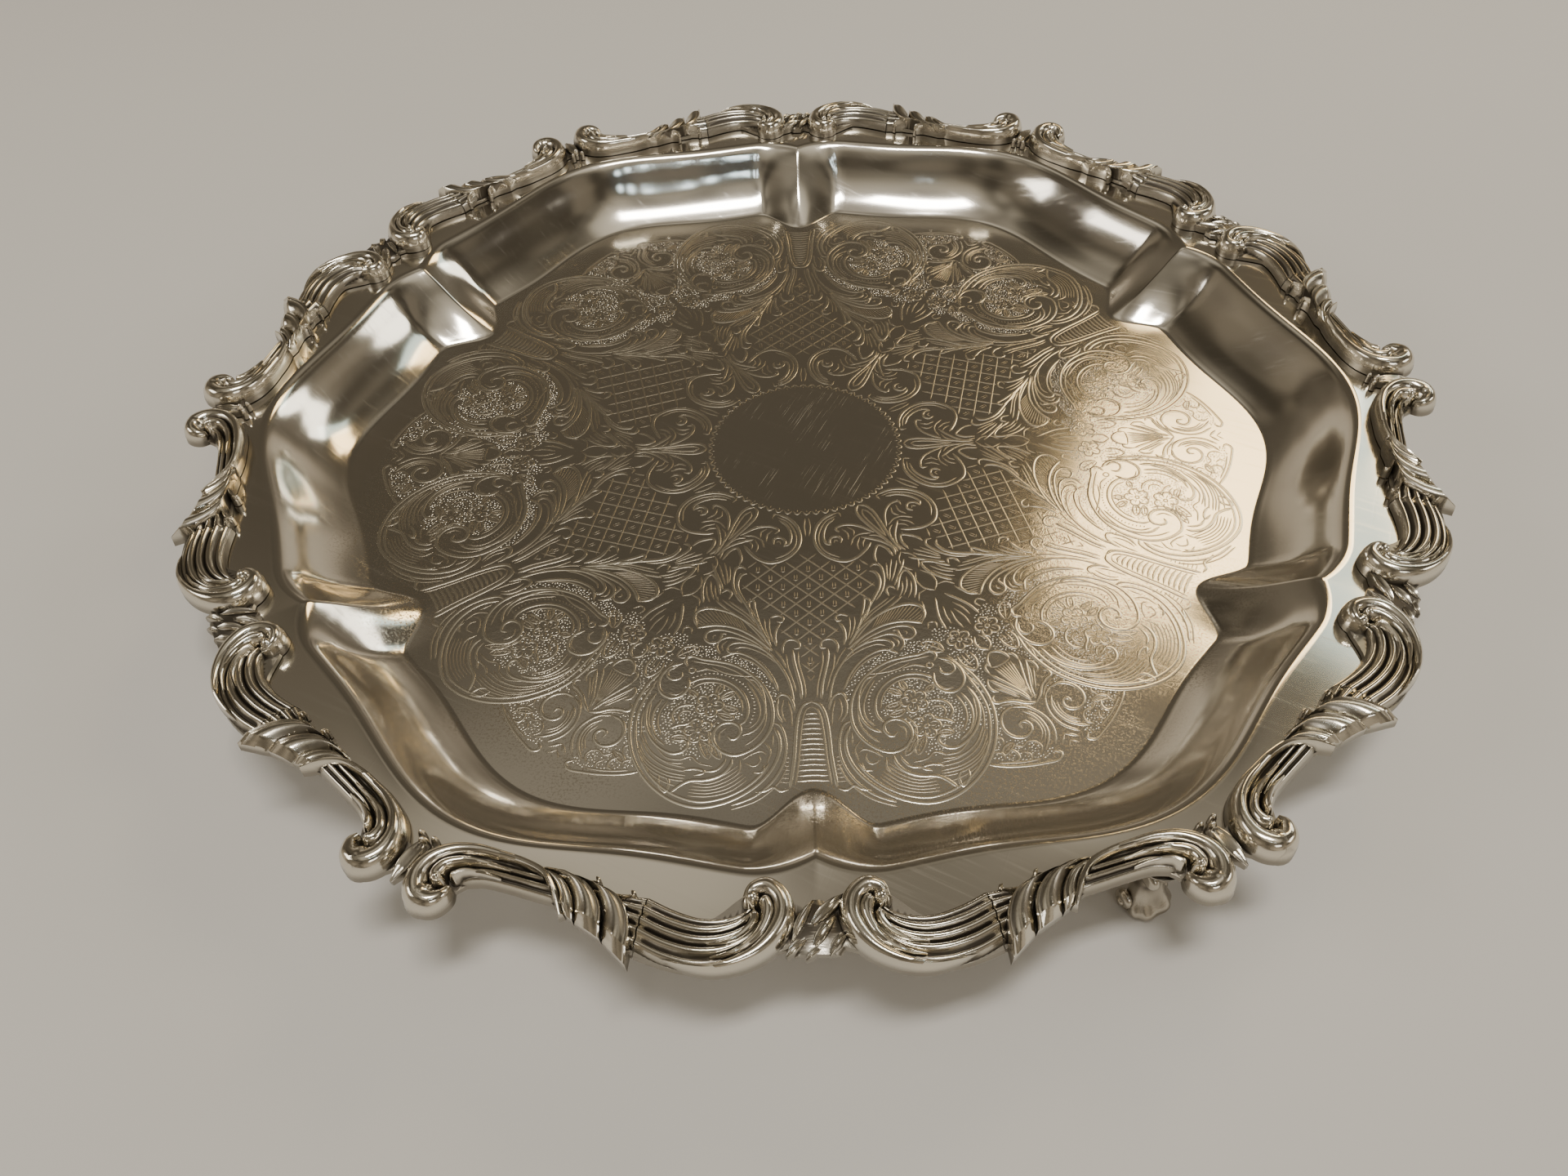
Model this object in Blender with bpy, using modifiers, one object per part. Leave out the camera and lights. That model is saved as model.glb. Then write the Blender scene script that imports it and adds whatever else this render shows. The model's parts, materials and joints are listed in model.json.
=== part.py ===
"""A round silver-plated salver on three cast feet.

A dished sheet-metal tray with six pleats, a border of twelve castings soldered
round its rim, and three scroll feet soldered under it.  Metres, +Z up; the
origin is on the table, under the middle of the tray.
"""

import bpy
import bmesh
import numpy as np
from math import cos, pi, radians, sin
from mathutils import Matrix

MM = 0.001

# ---- driving dimensions -------------------------------------------------
LOBES = 6                     # the tray repeats six times round
FRONT = -90                   # degrees: one pleat faces -Y
FLOOR_TOP = 10.0 * MM         # serving floor above the table
RIM_RISE = 19.0 * MM          # rim above the serving floor
SHEET = 1.3 * MM              # sheet thickness
GAP = 0.3 * MM                # between soldered pieces
FLAT_FLOOR_RADIUS = 122.0 * MM

CREASE_MEAN = 162.2 * MM      # where the wall turns over into the rim
CREASE_LOBE = 3.3 * MM        # main outward swell between two pleats
CREASE_SHOULDER = 2.2 * MM    # small shoulder beside each pleat
PLEAT_HALF_ANGLE = 6.0        # degrees either side of a pleat's ridge
PLEAT_DEPTH_RIM = 5.0 * MM    # how far the ridge steps in at the rim
PLEAT_DEPTH_FLOOR = 7.0 * MM  # and how much further at the floor

SEAM_ANGLE = 12.2             # degrees from a pleat to a border seam
SEAM_HALF_GAP = 0.05          # degrees

FOOT_RADIUS = 174.0 * MM      # from the axis to the middle of a foot
FOOT_ANGLES = (-63, 63, 180)  # degrees, close under three of the outer scroll pairs
FOOT_TOP = FLOOR_TOP + RIM_RISE - SHEET - GAP
RING_SIDES = 12               # points round a foot's section

# The wall between floor and rim: (distance in from the crease, height), mm.
WALL = ((24.0, 0.0), (19.0, 0.8), (15.0, 3.2), (11.3, 6.9), (7.5, 11.4),
        (4.0, 15.6), (1.6, 18.2), (0.0, 19.0))

# Outlines seen from above: (degrees from a pleat, radius in mm).
SHEET_EDGE = ((0, 175.0), (6, 179.5), (11, 180.0), (16, 176.5), (20, 173.6),
              (24, 174.6), (27, 179.0), (30, 180.5))
BORDER_INNER = ((0, 167.5), (2.4, 164.8), (3.8, 162.8), (5.3, 164.6), (7.5, 170.6), (9.5, 172.3),
                (11.5, 172.4), (14.5, 169.0), (17, 168.8), (23, 169.9), (27.5, 173.6), (30, 175.2))
BORDER_OUTER = ((0, 177.0), (3.8, 180.4), (6, 183.4), (8, 184.6), (12, 183.4), (16, 179.6),
                (20, 176.0), (22, 175.9), (24, 177.0), (25.2, 179.6), (26.3, 186.8), (27.4, 190.0),
                (28.5, 187.4), (30, 182.5))
BORDER_HEIGHT = ((0, 3.2), (2.4, 4.0), (3.8, 6.0), (5.6, 5.4), (8, 4.8), (12, 4.3), (16, 4.6),
                 (20, 4.4), (24, 4.8), (27.4, 6.0), (29, 4.8), (30, 3.8))
# A border casting's section: (share of the width, share of the height).
BORDER_SECTION = ((0.0, 0.0), (0.0, 0.4), (0.13, 0.82), (0.36, 1.0), (0.66, 1.0),
                  (0.88, 0.76), (1.0, 0.34), (1.0, 0.0))

# Angles at which the sheet and the castings are cut into sections.
SHEET_ANGLES = (0, 1.4, 2.8, 4.2, 6, 9, 12, 15, 18, 21, 24, 27)
SHELL_ANGLES = (0, 2.4, 3.8, 5.3, 7, 9.5)
LEAF_ANGLES = (0, 1.0, 1.7, 2.6, 3.4, 4.1, 4.9, 6, 8, 10, 12, 14, 16)

# A foot from the toe up: (height, offset outwards, depth, width), mm.
FOOT_SECTIONS = ((0.0, -1.5, 8.0, 10.5), (2.2, -1.0, 9.0, 11.6), (5.2, -2.2, 7.0, 9.6),
                 (9.5, -3.6, 5.4, 7.6), (14.5, -2.8, 5.8, 8.2), (19.0, -0.9, 7.4, 10.8),
                 (23.0, 0.0, 8.4, 13.6), (FOOT_TOP / MM - 1.2, 0.0, 9.6, 16.0),
                 (FOOT_TOP / MM, 0.0, 9.6, 16.0))


def folded(angle):
    """Degrees from the nearest pleat: 0 on a ridge, 30 halfway to the next."""
    lobe = 360 / LOBES
    return abs((angle + lobe / 2) % lobe - lobe / 2)


def read(outline, angle):
    """An outline's value at an angle, on a smooth curve through its points."""
    at, values = np.array(outline, float).T
    slopes = np.gradient(values, at)
    slopes[0] = slopes[-1] = 0
    spot = folded(angle)
    i = min(int(np.searchsorted(at, spot, side="right")) - 1, len(at) - 2)
    span = at[i + 1] - at[i]
    t = (spot - at[i]) / span
    rise = values[i + 1] - values[i]
    bend_in = span * slopes[i] - rise
    bend_out = rise - span * slopes[i + 1]
    return (values[i] + t * rise + t * (1 - t) * ((1 - t) * bend_in + t * bend_out)) * MM


def pleat(angle):
    """1 on a pleat's sharp ridge, falling to 0 at its foot lines."""
    return max(0.0, 1 - folded(angle) / PLEAT_HALF_ANGLE) ** 2


def crease(angle):
    """Radius where the wall meets the rim, without the pleat's own step."""
    turn = radians(LOBES * angle)
    return CREASE_MEAN - CREASE_LOBE * cos(turn) + CREASE_SHOULDER * cos(2 * turn)


def polar(radius, angle, height):
    return (radius * cos(radians(angle)), radius * sin(radians(angle)), height)


def principled(name, color, roughness):
    material = bpy.data.materials.new(name)
    material.use_nodes = True
    shader = material.node_tree.nodes["Principled BSDF"]
    shader.inputs["Base Color"].default_value = (*color, 1)
    shader.inputs["Metallic"].default_value = 1.0
    shader.inputs["Roughness"].default_value = roughness
    material.diffuse_color = (*color, 1)
    return material


def add_object(name, mesh, material, collection):
    if not mesh.materials:
        mesh.materials.append(material)
    mesh.shade_smooth()
    mesh.set_sharp_from_angle(angle=radians(35))
    piece = bpy.data.objects.new(name, mesh)
    collection.objects.link(piece)
    return piece


def loft(name, rings):
    """A closed skin through rings of points, capped at both ends."""
    form = bmesh.new()
    rows = [[form.verts.new(point) for point in ring] for ring in rings]
    sides = len(rows[0])
    for low, high in zip(rows, rows[1:]):
        for i in range(sides):
            j = (i + 1) % sides
            form.faces.new((low[i], low[j], high[j], high[i]))
    form.faces.new(rows[0][::-1])
    form.faces.new(rows[-1])
    bmesh.ops.recalc_face_normals(form, faces=form.faces)
    mesh = bpy.data.meshes.new(name)
    form.to_mesh(mesh)
    form.free()
    return mesh


def make_tray(material, collection):
    """The dished sheet: an open surface of rings, thickened downwards."""
    lobe = 360 / LOBES
    repeat = list(SHEET_ANGLES) + [lobe / 2] + [lobe - a for a in SHEET_ANGLES[:0:-1]]
    angles = [k * lobe + a for k in range(LOBES) for a in repeat]  # from the front pleat
    rings = [[polar(FLAT_FLOOR_RADIUS, a, FLOOR_TOP) for a in angles]]
    for inset, height in WALL:
        down = 1 - height * MM / RIM_RISE
        step = PLEAT_DEPTH_RIM + PLEAT_DEPTH_FLOOR * down
        rings.append([polar(crease(a) - inset * MM - step * pleat(a), a, FLOOR_TOP + height * MM)
                      for a in angles])
    rings.append([polar(read(SHEET_EDGE, a), a, FLOOR_TOP + RIM_RISE) for a in angles])

    form = bmesh.new()
    rows = [[form.verts.new(point) for point in ring] for ring in rings]
    form.faces.new(rows[0])
    for inner, outer in zip(rows, rows[1:]):
        for i in range(len(angles)):
            j = (i + 1) % len(angles)
            form.faces.new((inner[i], outer[i], outer[j], inner[j]))
    mesh = bpy.data.meshes.new("tray_body")
    form.to_mesh(mesh)
    form.free()
    mesh.transform(Matrix.Rotation(radians(FRONT), 4, "Z"))
    tray = add_object("tray_body", mesh, material, collection)
    wall = tray.modifiers.new("sheet thickness", "SOLIDIFY")
    wall.thickness = SHEET
    wall.offset = -1
    wall.use_even_offset = True
    wall.use_rim = True
    return tray


def border_rings(centre, offsets):
    """Sections of a casting, at offsets in degrees from its middle."""
    base = FLOOR_TOP + RIM_RISE + GAP
    rings = []
    for offset in offsets:
        spot = centre + offset
        inner = read(BORDER_INNER, spot)
        outer = read(BORDER_OUTER, spot)
        height = read(BORDER_HEIGHT, spot)
        rings.append([polar(inner + u * (outer - inner), offset, base + v * height)
                      for u, v in BORDER_SECTION])
    return rings


def make_castings(stem, first_angle, centre, half_offsets, material, collection):
    """Six castings on one mesh, turned round the tray."""
    offsets = [-a for a in half_offsets[:0:-1]] + list(half_offsets)
    mesh = loft(stem, border_rings(centre, offsets))
    for k in range(LOBES):
        casting = add_object(f"{stem}_{k + 1}", mesh, material, collection)
        casting.rotation_euler.z = radians(first_angle + k * 360 / LOBES)


def foot_ring(height, outwards, depth, width):
    """A rounded section across a foot."""
    ring = []
    for k in range(RING_SIDES):
        turn = 2 * pi * (k + 0.5) / RING_SIDES
        x = abs(cos(turn)) ** 0.8 * np.sign(cos(turn))
        y = abs(sin(turn)) ** 0.8 * np.sign(sin(turn))
        ring.append((FOOT_RADIUS + (outwards + x * depth / 2) * MM, y * width / 2 * MM,
                     height * MM))
    return ring


def make_feet(material, collection):
    mesh = loft("foot", [foot_ring(*section) for section in FOOT_SECTIONS])
    for number, angle in enumerate(FOOT_ANGLES, 1):
        foot = add_object(f"foot_{number}", mesh, material, collection)
        foot.matrix_world = Matrix.Rotation(radians(angle), 4, "Z")


def main():
    for old in list(bpy.data.objects):
        bpy.data.objects.remove(old, do_unlink=True)
    salver = bpy.data.collections.new("silver_salver")
    bpy.context.scene.collection.children.link(salver)
    sheet_silver = principled("polished silver plate", (0.78, 0.74, 0.66), 0.12)
    cast_silver = principled("cast silver border", (0.70, 0.67, 0.60), 0.2)
    foot_silver = principled("cast silver foot", (0.62, 0.58, 0.52), 0.28)

    make_tray(sheet_silver, salver)
    end_of_shell = SEAM_ANGLE - SEAM_HALF_GAP
    end_of_leaf = 180 / LOBES - SEAM_ANGLE - SEAM_HALF_GAP
    make_castings("border_shell_scroll", FRONT, 0, (*SHELL_ANGLES, end_of_shell),
                  cast_silver, salver)
    make_castings("border_leaf_scroll", FRONT + 180 / LOBES, 180 / LOBES,
                  (*LEAF_ANGLES, end_of_leaf), cast_silver, salver)
    make_feet(foot_silver, salver)


main()
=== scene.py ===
"""Looks of a round silver salver: a pleated tray with a chased floor, a cast scroll border and scroll feet.

Sizes are millimetres until a mesh is made; +Z is up and the origin is on the table under the middle.
"""
import json
from math import ceil, cos, hypot, pi, radians, sin

import bmesh
import bpy
import numpy as np
from mathutils import Matrix, Quaternion, Vector

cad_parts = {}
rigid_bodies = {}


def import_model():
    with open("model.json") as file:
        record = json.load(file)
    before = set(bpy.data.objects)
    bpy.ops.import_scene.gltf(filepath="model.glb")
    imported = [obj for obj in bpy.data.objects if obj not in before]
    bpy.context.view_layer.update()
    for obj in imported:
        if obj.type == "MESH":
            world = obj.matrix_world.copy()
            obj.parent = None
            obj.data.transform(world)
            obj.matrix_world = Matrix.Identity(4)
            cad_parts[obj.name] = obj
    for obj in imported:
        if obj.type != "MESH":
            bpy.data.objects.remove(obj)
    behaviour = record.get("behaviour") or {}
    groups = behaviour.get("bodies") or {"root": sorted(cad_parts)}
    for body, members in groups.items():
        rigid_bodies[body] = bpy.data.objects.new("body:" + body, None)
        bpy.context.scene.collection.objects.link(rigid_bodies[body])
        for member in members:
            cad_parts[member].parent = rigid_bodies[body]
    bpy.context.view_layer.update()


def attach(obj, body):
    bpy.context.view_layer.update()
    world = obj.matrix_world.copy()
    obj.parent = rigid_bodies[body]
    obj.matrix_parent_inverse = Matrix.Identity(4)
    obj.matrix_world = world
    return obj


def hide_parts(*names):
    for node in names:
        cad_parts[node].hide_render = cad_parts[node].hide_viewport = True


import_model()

MM = 0.001
LOBES = 6
LOBE = 360 / LOBES
FRONT = -90                    # azimuth of the front pleat
SCROLL_AXIS = FRONT + LOBE / 2  # azimuth of the first outward scroll pair

# ---- the sheet -----------------------------------------------------------
FLOOR = 10.0
RIM_RISE = 19.0
RIM = FLOOR + RIM_RISE
SHEET = 1.3
EDGE_ROUND = 0.35               # how far the rim's edge swells outwards
FLAT_FLOOR = 122.0
CREASE_MEAN, CREASE_LOBE, CREASE_SHOULDER = 162.2, 3.3, 2.2
PLEAT_HALF_ANGLE = 6.0
NOSE_HALF_ANGLE = PLEAT_HALF_ANGLE + 0.6
PLEAT_AT_RIM, PLEAT_TO_FLOOR = 5.0, 7.0
WALL = ((22.6, 0.0), (21.5, 0.10), (20.3, 0.75), (17.6, 2.4), (14.6, 4.6), (11.2, 7.7), (7.9, 11.4),
        (4.9, 15.2), (2.5, 17.9), (1.2, 18.8), (0.0, 19.0))
SHEET_EDGE = ((0, 175.0), (6, 179.5), (11, 180.0), (16, 176.5), (20, 173.6), (24, 174.6), (27, 179.0),
              (30, 180.5))

# ---- the border ----------------------------------------------------------
BED = 29.05                    # underside of the castings
DEVELOPED = 175.0              # radius on which a casting's lengthwise measure is taken
SHELL_SEAM = 37.2              # lengthwise, from the pleat
LEAF_SEAM = 54.2               # lengthwise, from the scroll pair's middle
CAST_SHARP = 38                # degrees past which a cast edge stays sharp
BORDER_INNER = ((0, 167.5), (2.4, 164.8), (3.8, 162.8), (5.3, 164.6), (7.5, 170.6), (9.5, 172.3),
                (11.5, 172.4), (14.5, 169.0), (17, 168.8), (23, 169.9), (27.5, 173.6), (30, 175.2))
BORDER_OUTER = ((0, 177.0), (3.8, 180.4), (6, 183.4), (8, 184.6), (12, 183.4), (16, 179.6), (20, 176.0),
                (22, 175.9), (24, 177.0), (25.2, 179.6), (26.3, 186.8), (27.4, 190.0), (28.5, 187.4),
                (30, 182.5))


def smooth_path(points, step=None, count=None):
    """Points at even distances along a smooth curve through the rows; columns past the second ride along."""
    rows = np.array(points, float)
    gaps = np.maximum(np.hypot(*np.diff(rows[:, :2], axis=0).T), 1e-6) ** 0.5
    slopes = np.empty_like(rows)
    slopes[0] = (rows[1] - rows[0]) / gaps[0]
    slopes[-1] = (rows[-1] - rows[-2]) / gaps[-1]
    if len(rows) > 2:
        before = (rows[1:-1] - rows[:-2]) / gaps[:-1, None]
        after = (rows[2:] - rows[1:-1]) / gaps[1:, None]
        share = (gaps[:-1] / (gaps[:-1] + gaps[1:]))[:, None]
        slopes[1:-1] = before * (1 - share) + after * share
    fine = []
    for i, gap in enumerate(gaps):
        t = np.linspace(0, 1, 17)[:, None]
        fine.append((2 * t**3 - 3 * t**2 + 1) * rows[i] + (t**3 - 2 * t**2 + t) * gap * slopes[i]
                    + (3 * t**2 - 2 * t**3) * rows[i + 1] + (t**3 - t**2) * gap * slopes[i + 1])
    fine = np.concatenate([fine[0]] + [part[1:] for part in fine[1:]])
    run = np.concatenate([[0], np.cumsum(np.hypot(*np.diff(fine[:, :2], axis=0).T))])
    if count is None:
        count = max(3, int(ceil(run[-1] / step)) + 1)
    even = np.linspace(0, run[-1], count)
    return np.stack([np.interp(even, run, column) for column in fine.T], axis=1)


def read(outline, spot):
    """An outline's value at an angle folded into one half lobe, on a smooth curve through its points."""
    at, values = np.array(outline, float).T
    slopes = np.gradient(values, at)
    slopes[0] = slopes[-1] = 0
    spot = np.atleast_1d(spot).astype(float)
    i = np.clip(np.searchsorted(at, spot, side="right") - 1, 0, len(at) - 2)
    span = at[i + 1] - at[i]
    t = (spot - at[i]) / span
    rise = values[i + 1] - values[i]
    bend_in, bend_out = span * slopes[i] - rise, rise - span * slopes[i + 1]
    return values[i] + t * rise + t * (1 - t) * ((1 - t) * bend_in + t * bend_out)


def folded(angle):
    return np.abs((angle + LOBE / 2) % LOBE - LOBE / 2)


def crease(angle):
    turn = np.radians(LOBES * angle)
    return CREASE_MEAN - CREASE_LOBE * np.cos(turn) + CREASE_SHOULDER * np.cos(2 * turn)


def pleat(angle, down):
    """A pleat's share of its full step: a cusp at the rim (down 0), a rounded nose at the floor (down 1)."""
    spot = folded(angle)
    cusp = np.maximum(0.0, 1 - spot / PLEAT_HALF_ANGLE) ** 2
    nose = np.maximum(0.0, 1 - (spot / NOSE_HALF_ANGLE) ** 2) ** 2
    return cusp * (1 - down) + nose * down


def linked(name, mesh):
    """An object in the scene that shows this mesh."""
    made = bpy.data.objects.new(name, mesh)
    bpy.context.scene.collection.objects.link(made)
    return made


def new_mesh(name, points_mm, faces=(), edges=()):
    """A mesh of points given in millimetres."""
    mesh = bpy.data.meshes.new(name)
    mesh.from_pydata((np.asarray(points_mm, float) * MM).tolist(), edges, faces)
    return mesh


def evaluated(source):
    """The plain mesh that an object's modifiers make."""
    return bpy.data.meshes.new_from_object(source.evaluated_get(bpy.context.evaluated_depsgraph_get()))


def finished(name, mesh, material, sharp=None):
    """The mesh as a smooth piece of one material, with the edges past an angle kept sharp."""
    mesh.name = name
    mesh.materials.clear()
    mesh.materials.append(material)
    mesh.shade_smooth()
    if sharp:
        mesh.set_sharp_from_angle(angle=radians(sharp))
    return linked(name, mesh)


def store(mesh, name, values):
    """Keeps one number for each point of a mesh."""
    mesh.attributes.new(name, "FLOAT", "POINT").data.foreach_set("value", np.asarray(values, np.float32))


def rows_of(items, field, width, kind=float):
    """One field of a mesh's points, edges or normals, as rows of numbers."""
    flat = np.empty(len(items) * width, kind)
    items.foreach_get(field, flat)
    return flat.reshape(-1, width)


def grid_faces(rows, columns, around=False):
    """Quads between neighbouring rows of a grid of points; around joins the last column to the first."""
    faces = []
    last = columns if around else columns - 1
    for i in range(rows - 1):
        for j in range(last):
            k = (j + 1) % columns
            faces.append((i * columns + j, i * columns + k, (i + 1) * columns + k, (i + 1) * columns + j))
    return faces


def tube_faces(rings, sides):
    """The faces of a tube of rings, closed at both ends."""
    last = (rings - 1) * sides
    ends = [tuple(range(sides - 1, -1, -1)), tuple(range(last, last + sides))]
    return grid_faces(rings, sides, around=True) + ends


# ---- materials -----------------------------------------------------------
class Value:
    """A shader socket that Python's arithmetic works on."""

    def __init__(self, graph, socket):
        self.graph, self.socket = graph, socket

    def _math(self, operation, other):
        return self.graph.node("ShaderNodeMath", {"operation": operation}, {0: self, 1: other})

    def __add__(self, other): return self._math("ADD", other)
    def __sub__(self, other): return self._math("SUBTRACT", other)
    def __mul__(self, other): return self._math("MULTIPLY", other)
    def __pow__(self, other): return self._math("POWER", other)
    __radd__, __rmul__ = __add__, __mul__

    def most(self, other): return self._math("MAXIMUM", other)

    def fade(self, low, high):
        """0 below low, 1 above high, smooth between; the other way round when low is the larger."""
        return self.graph.node("ShaderNodeMapRange", {"interpolation_type": "SMOOTHSTEP"},
                               {"Value": self, "From Min": low, "From Max": high})


class Graph:
    """A material's or the world's nodes."""

    def __init__(self, owner):
        owner.use_nodes = True
        self.tree = owner.node_tree
        self.tree.nodes.clear()

    def node(self, kind, settings=None, sockets=None, output=0):
        made = self.tree.nodes.new(kind)
        for key, value in (settings or {}).items():
            if key == "stops":
                ramp = made.color_ramp
                while len(ramp.elements) < len(value):
                    ramp.elements.new(0.5)
                for element, (place, color) in zip(ramp.elements, value):
                    element.position, element.color = place, (*color, 1)
            else:
                setattr(made, key, value)
        for key, value in (sockets or {}).items():
            if isinstance(value, Value):
                self.tree.links.new(value.socket, made.inputs[key])
            else:
                made.inputs[key].default_value = value
        return Value(self, made.outputs[output]) if made.outputs else None

    def coordinates(self):
        return self.node("ShaderNodeTexCoord", output="Object")

    def xyz(self, vector):
        split = self.node("ShaderNodeSeparateXYZ", sockets={0: vector}).socket.node
        return [Value(self, output) for output in split.outputs]

    def noise(self, vector, scale, detail=3.0, roughness=0.55):
        return self.node("ShaderNodeTexNoise", {}, {"Vector": vector, "Scale": scale, "Detail": detail,
                                                    "Roughness": roughness})

    def stretched(self, vector, scale, turn=0.0):
        """The pattern's coordinates turned about Z by some degrees, then scaled."""
        if turn:
            vector = self.node("ShaderNodeMapping", {}, {"Vector": vector, "Rotation": (0, 0, radians(turn))})
        return self.node("ShaderNodeMapping", {}, {"Vector": vector, "Scale": scale})

    def blend(self, factor, first, second):
        return self.node("ShaderNodeMix", {"data_type": "RGBA"},
                         {"Factor": factor, 6: first if isinstance(first, Value) else (*first, 1),
                          7: second if isinstance(second, Value) else (*second, 1)}, output=2)


def finish_metal(graph, color, roughness, height, strength, distance):
    """The metal shader, with its colour, its gloss and its fine relief."""
    relief = graph.node("ShaderNodeBump", {}, {"Height": height, "Strength": strength, "Distance": distance})
    metal = graph.node("ShaderNodeBsdfPrincipled", {}, {"Base Color": color, "Metallic": 1.0,
                                                        "Roughness": roughness,
                                                        "Normal": relief})
    graph.node("ShaderNodeOutputMaterial", {}, {"Surface": metal})


SILVER = (0.86, 0.82, 0.745)
WARM_SILVER = (0.80, 0.735, 0.62)
# tarnish of the plate; in the chased valleys the same colour is partly painted shade
TARNISH_AND_SHADE = (0.27, 0.21, 0.13)
# dark oxide of the cast hollows; on the border's low flanks the same colour is painted shade
OXIDE_AND_SHADE = (0.055, 0.045, 0.035)


def polished_plate():
    """Polished plate: faint wipe marks all over, tarnish specks on the floor near the front wall."""
    material = bpy.data.materials.new("polished silver plate")
    graph = Graph(material)
    place = graph.coordinates()
    x, y, z = graph.xyz(place)
    cloud = graph.noise(place, 18.0, 4.0)
    fine = graph.noise(place, 260.0, 3.0)
    specks = graph.noise(place, 1500.0, 2.0, 0.7)
    wipes = graph.noise(graph.stretched(place, (900, 28, 200), -62), 1.0, 3.0, 0.6)
    crosswise = graph.noise(graph.stretched(place, (1400, 40, 200), 24), 1.0, 2.0, 0.6)
    radius = (x * x + y * y) ** 0.5
    outer_floor = radius.fade(0.085, 0.12) * radius.fade(0.152, 0.13)
    toward_front = (y + x * 0.35).fade(0.03, -0.09)
    spots = specks.fade(0.50, 0.62) * cloud.fade(0.36, 0.55)
    tarnish = outer_floor * toward_front * spots * 0.85
    tint_and_shade = cloud.fade(0.42, 0.72) * 0.35
    tint = graph.blend(tint_and_shade, SILVER, WARM_SILVER)
    color = graph.blend(tarnish, tint, TARNISH_AND_SHADE)
    # a grain left between the chased lines, and scratches on the plain disc in the middle
    chased_zone = radius.fade(0.030, 0.034) * radius.fade(0.122, 0.114) * z.fade(0.0106, 0.0102)
    grain = graph.noise(place, 1250.0, 2.0, 0.7)
    patchy = graph.noise(place, 65.0, 3.0)
    peppered = chased_zone * patchy.fade(0.40, 0.60)
    disc = radius.fade(0.029, 0.027)
    scratches = graph.noise(graph.stretched(place, (3600, 45, 200), 26), 1.0, 2.0, 0.5)
    marks = disc * scratches.fade(0.60, 0.70) * patchy.fade(0.40, 0.60)
    roughness = 0.085 + cloud * 0.05 + wipes.fade(0.52, 0.75) * 0.06 + tarnish * 0.30 + marks * 0.30
    height = (wipes.fade(0.58, 0.74) * 0.4 + crosswise.fade(0.6, 0.75) * 0.3 + fine * 0.3 - tarnish * 0.4
              + peppered * grain * 11.0 + marks * 1.8)
    finish_metal(graph, color, roughness, height, 0.035, 0.0001)
    return material


def chased_plate():
    """Bright-cut lines: polished lips, each valley painted dark, partly as tarnish and partly as painted
    shade of the cut.
    """
    material = bpy.data.materials.new("chased silver plate")
    graph = Graph(material)
    place = graph.coordinates()
    z = graph.xyz(place)[2]
    cloud = graph.noise(place, 22.0, 3.0)
    grain = graph.noise(place, 1500.0, 2.0, 0.6)
    # painted shade: each line's low valley is darkened, partly tarnish and partly the shade of a cut groove
    valley = z.fade(FLOOR * MM + 0.00006, FLOOR * MM + 0.00001)
    tint_and_shade = valley * (0.6 + cloud * 0.4)
    color = graph.blend(tint_and_shade, (0.93, 0.88, 0.76), TARNISH_AND_SHADE)
    finish_metal(graph, color, 0.16 + cloud * 0.08 + tint_and_shade * 0.2, grain, 0.25, 0.00005)
    return material


def cast_silver(name, bright, dark, reach, gloss, painted_shade_heights=None):
    """Cast metal rubbed bright on top, with dark patina left in its hollows; given shade heights, painted
    shade darkens its low flanks and underside.
    """
    material = bpy.data.materials.new(name)
    graph = Graph(material)
    place = graph.coordinates()
    hollow = graph.node("ShaderNodeAttribute", {"attribute_name": "hollow"}, output="Fac")
    cloud = graph.noise(place, 60.0, 4.0)
    grain = graph.noise(place, 1300.0, 3.0, 0.6)
    rubbed = graph.noise(graph.stretched(place, (500, 60, 300)), 1.0, 3.0)
    oxide_and_shade = (hollow + (cloud - 0.5) * 0.5).fade(*reach)
    if painted_shade_heights:
        # painted shade: below the shade heights the flanks and the underside are darkened, as shade under the
        # border
        oxide_and_shade = oxide_and_shade.most(graph.xyz(place)[2].fade(*painted_shade_heights) * (0.5 + cloud * 0.35))
    color = graph.blend(oxide_and_shade * 0.92, graph.blend(cloud.fade(0.35, 0.75) * 0.6, bright, WARM_SILVER), dark)
    roughness = gloss + cloud * 0.07 + oxide_and_shade * 0.32 + rubbed.fade(0.5, 0.8) * 0.05
    finish_metal(graph, color, roughness, grain * 0.6 + cloud * 0.8, 0.22, 0.00015)
    return material


PLATE = polished_plate()
CHASED = chased_plate()
# the last pair of heights sets where painted shade darkens the border's low flanks and underside
CAST = cast_silver("cast silver border", (0.74, 0.70, 0.61), OXIDE_AND_SHADE, (0.38, 0.62), 0.10, (0.0325, 0.0300))
# the feet's silver is painted darker than the border's, as painted shade under the rim
SHADED_FOOT = cast_silver("cast silver foot", (0.52, 0.48, 0.41), OXIDE_AND_SHADE, (0.38, 0.66), 0.2)


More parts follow.
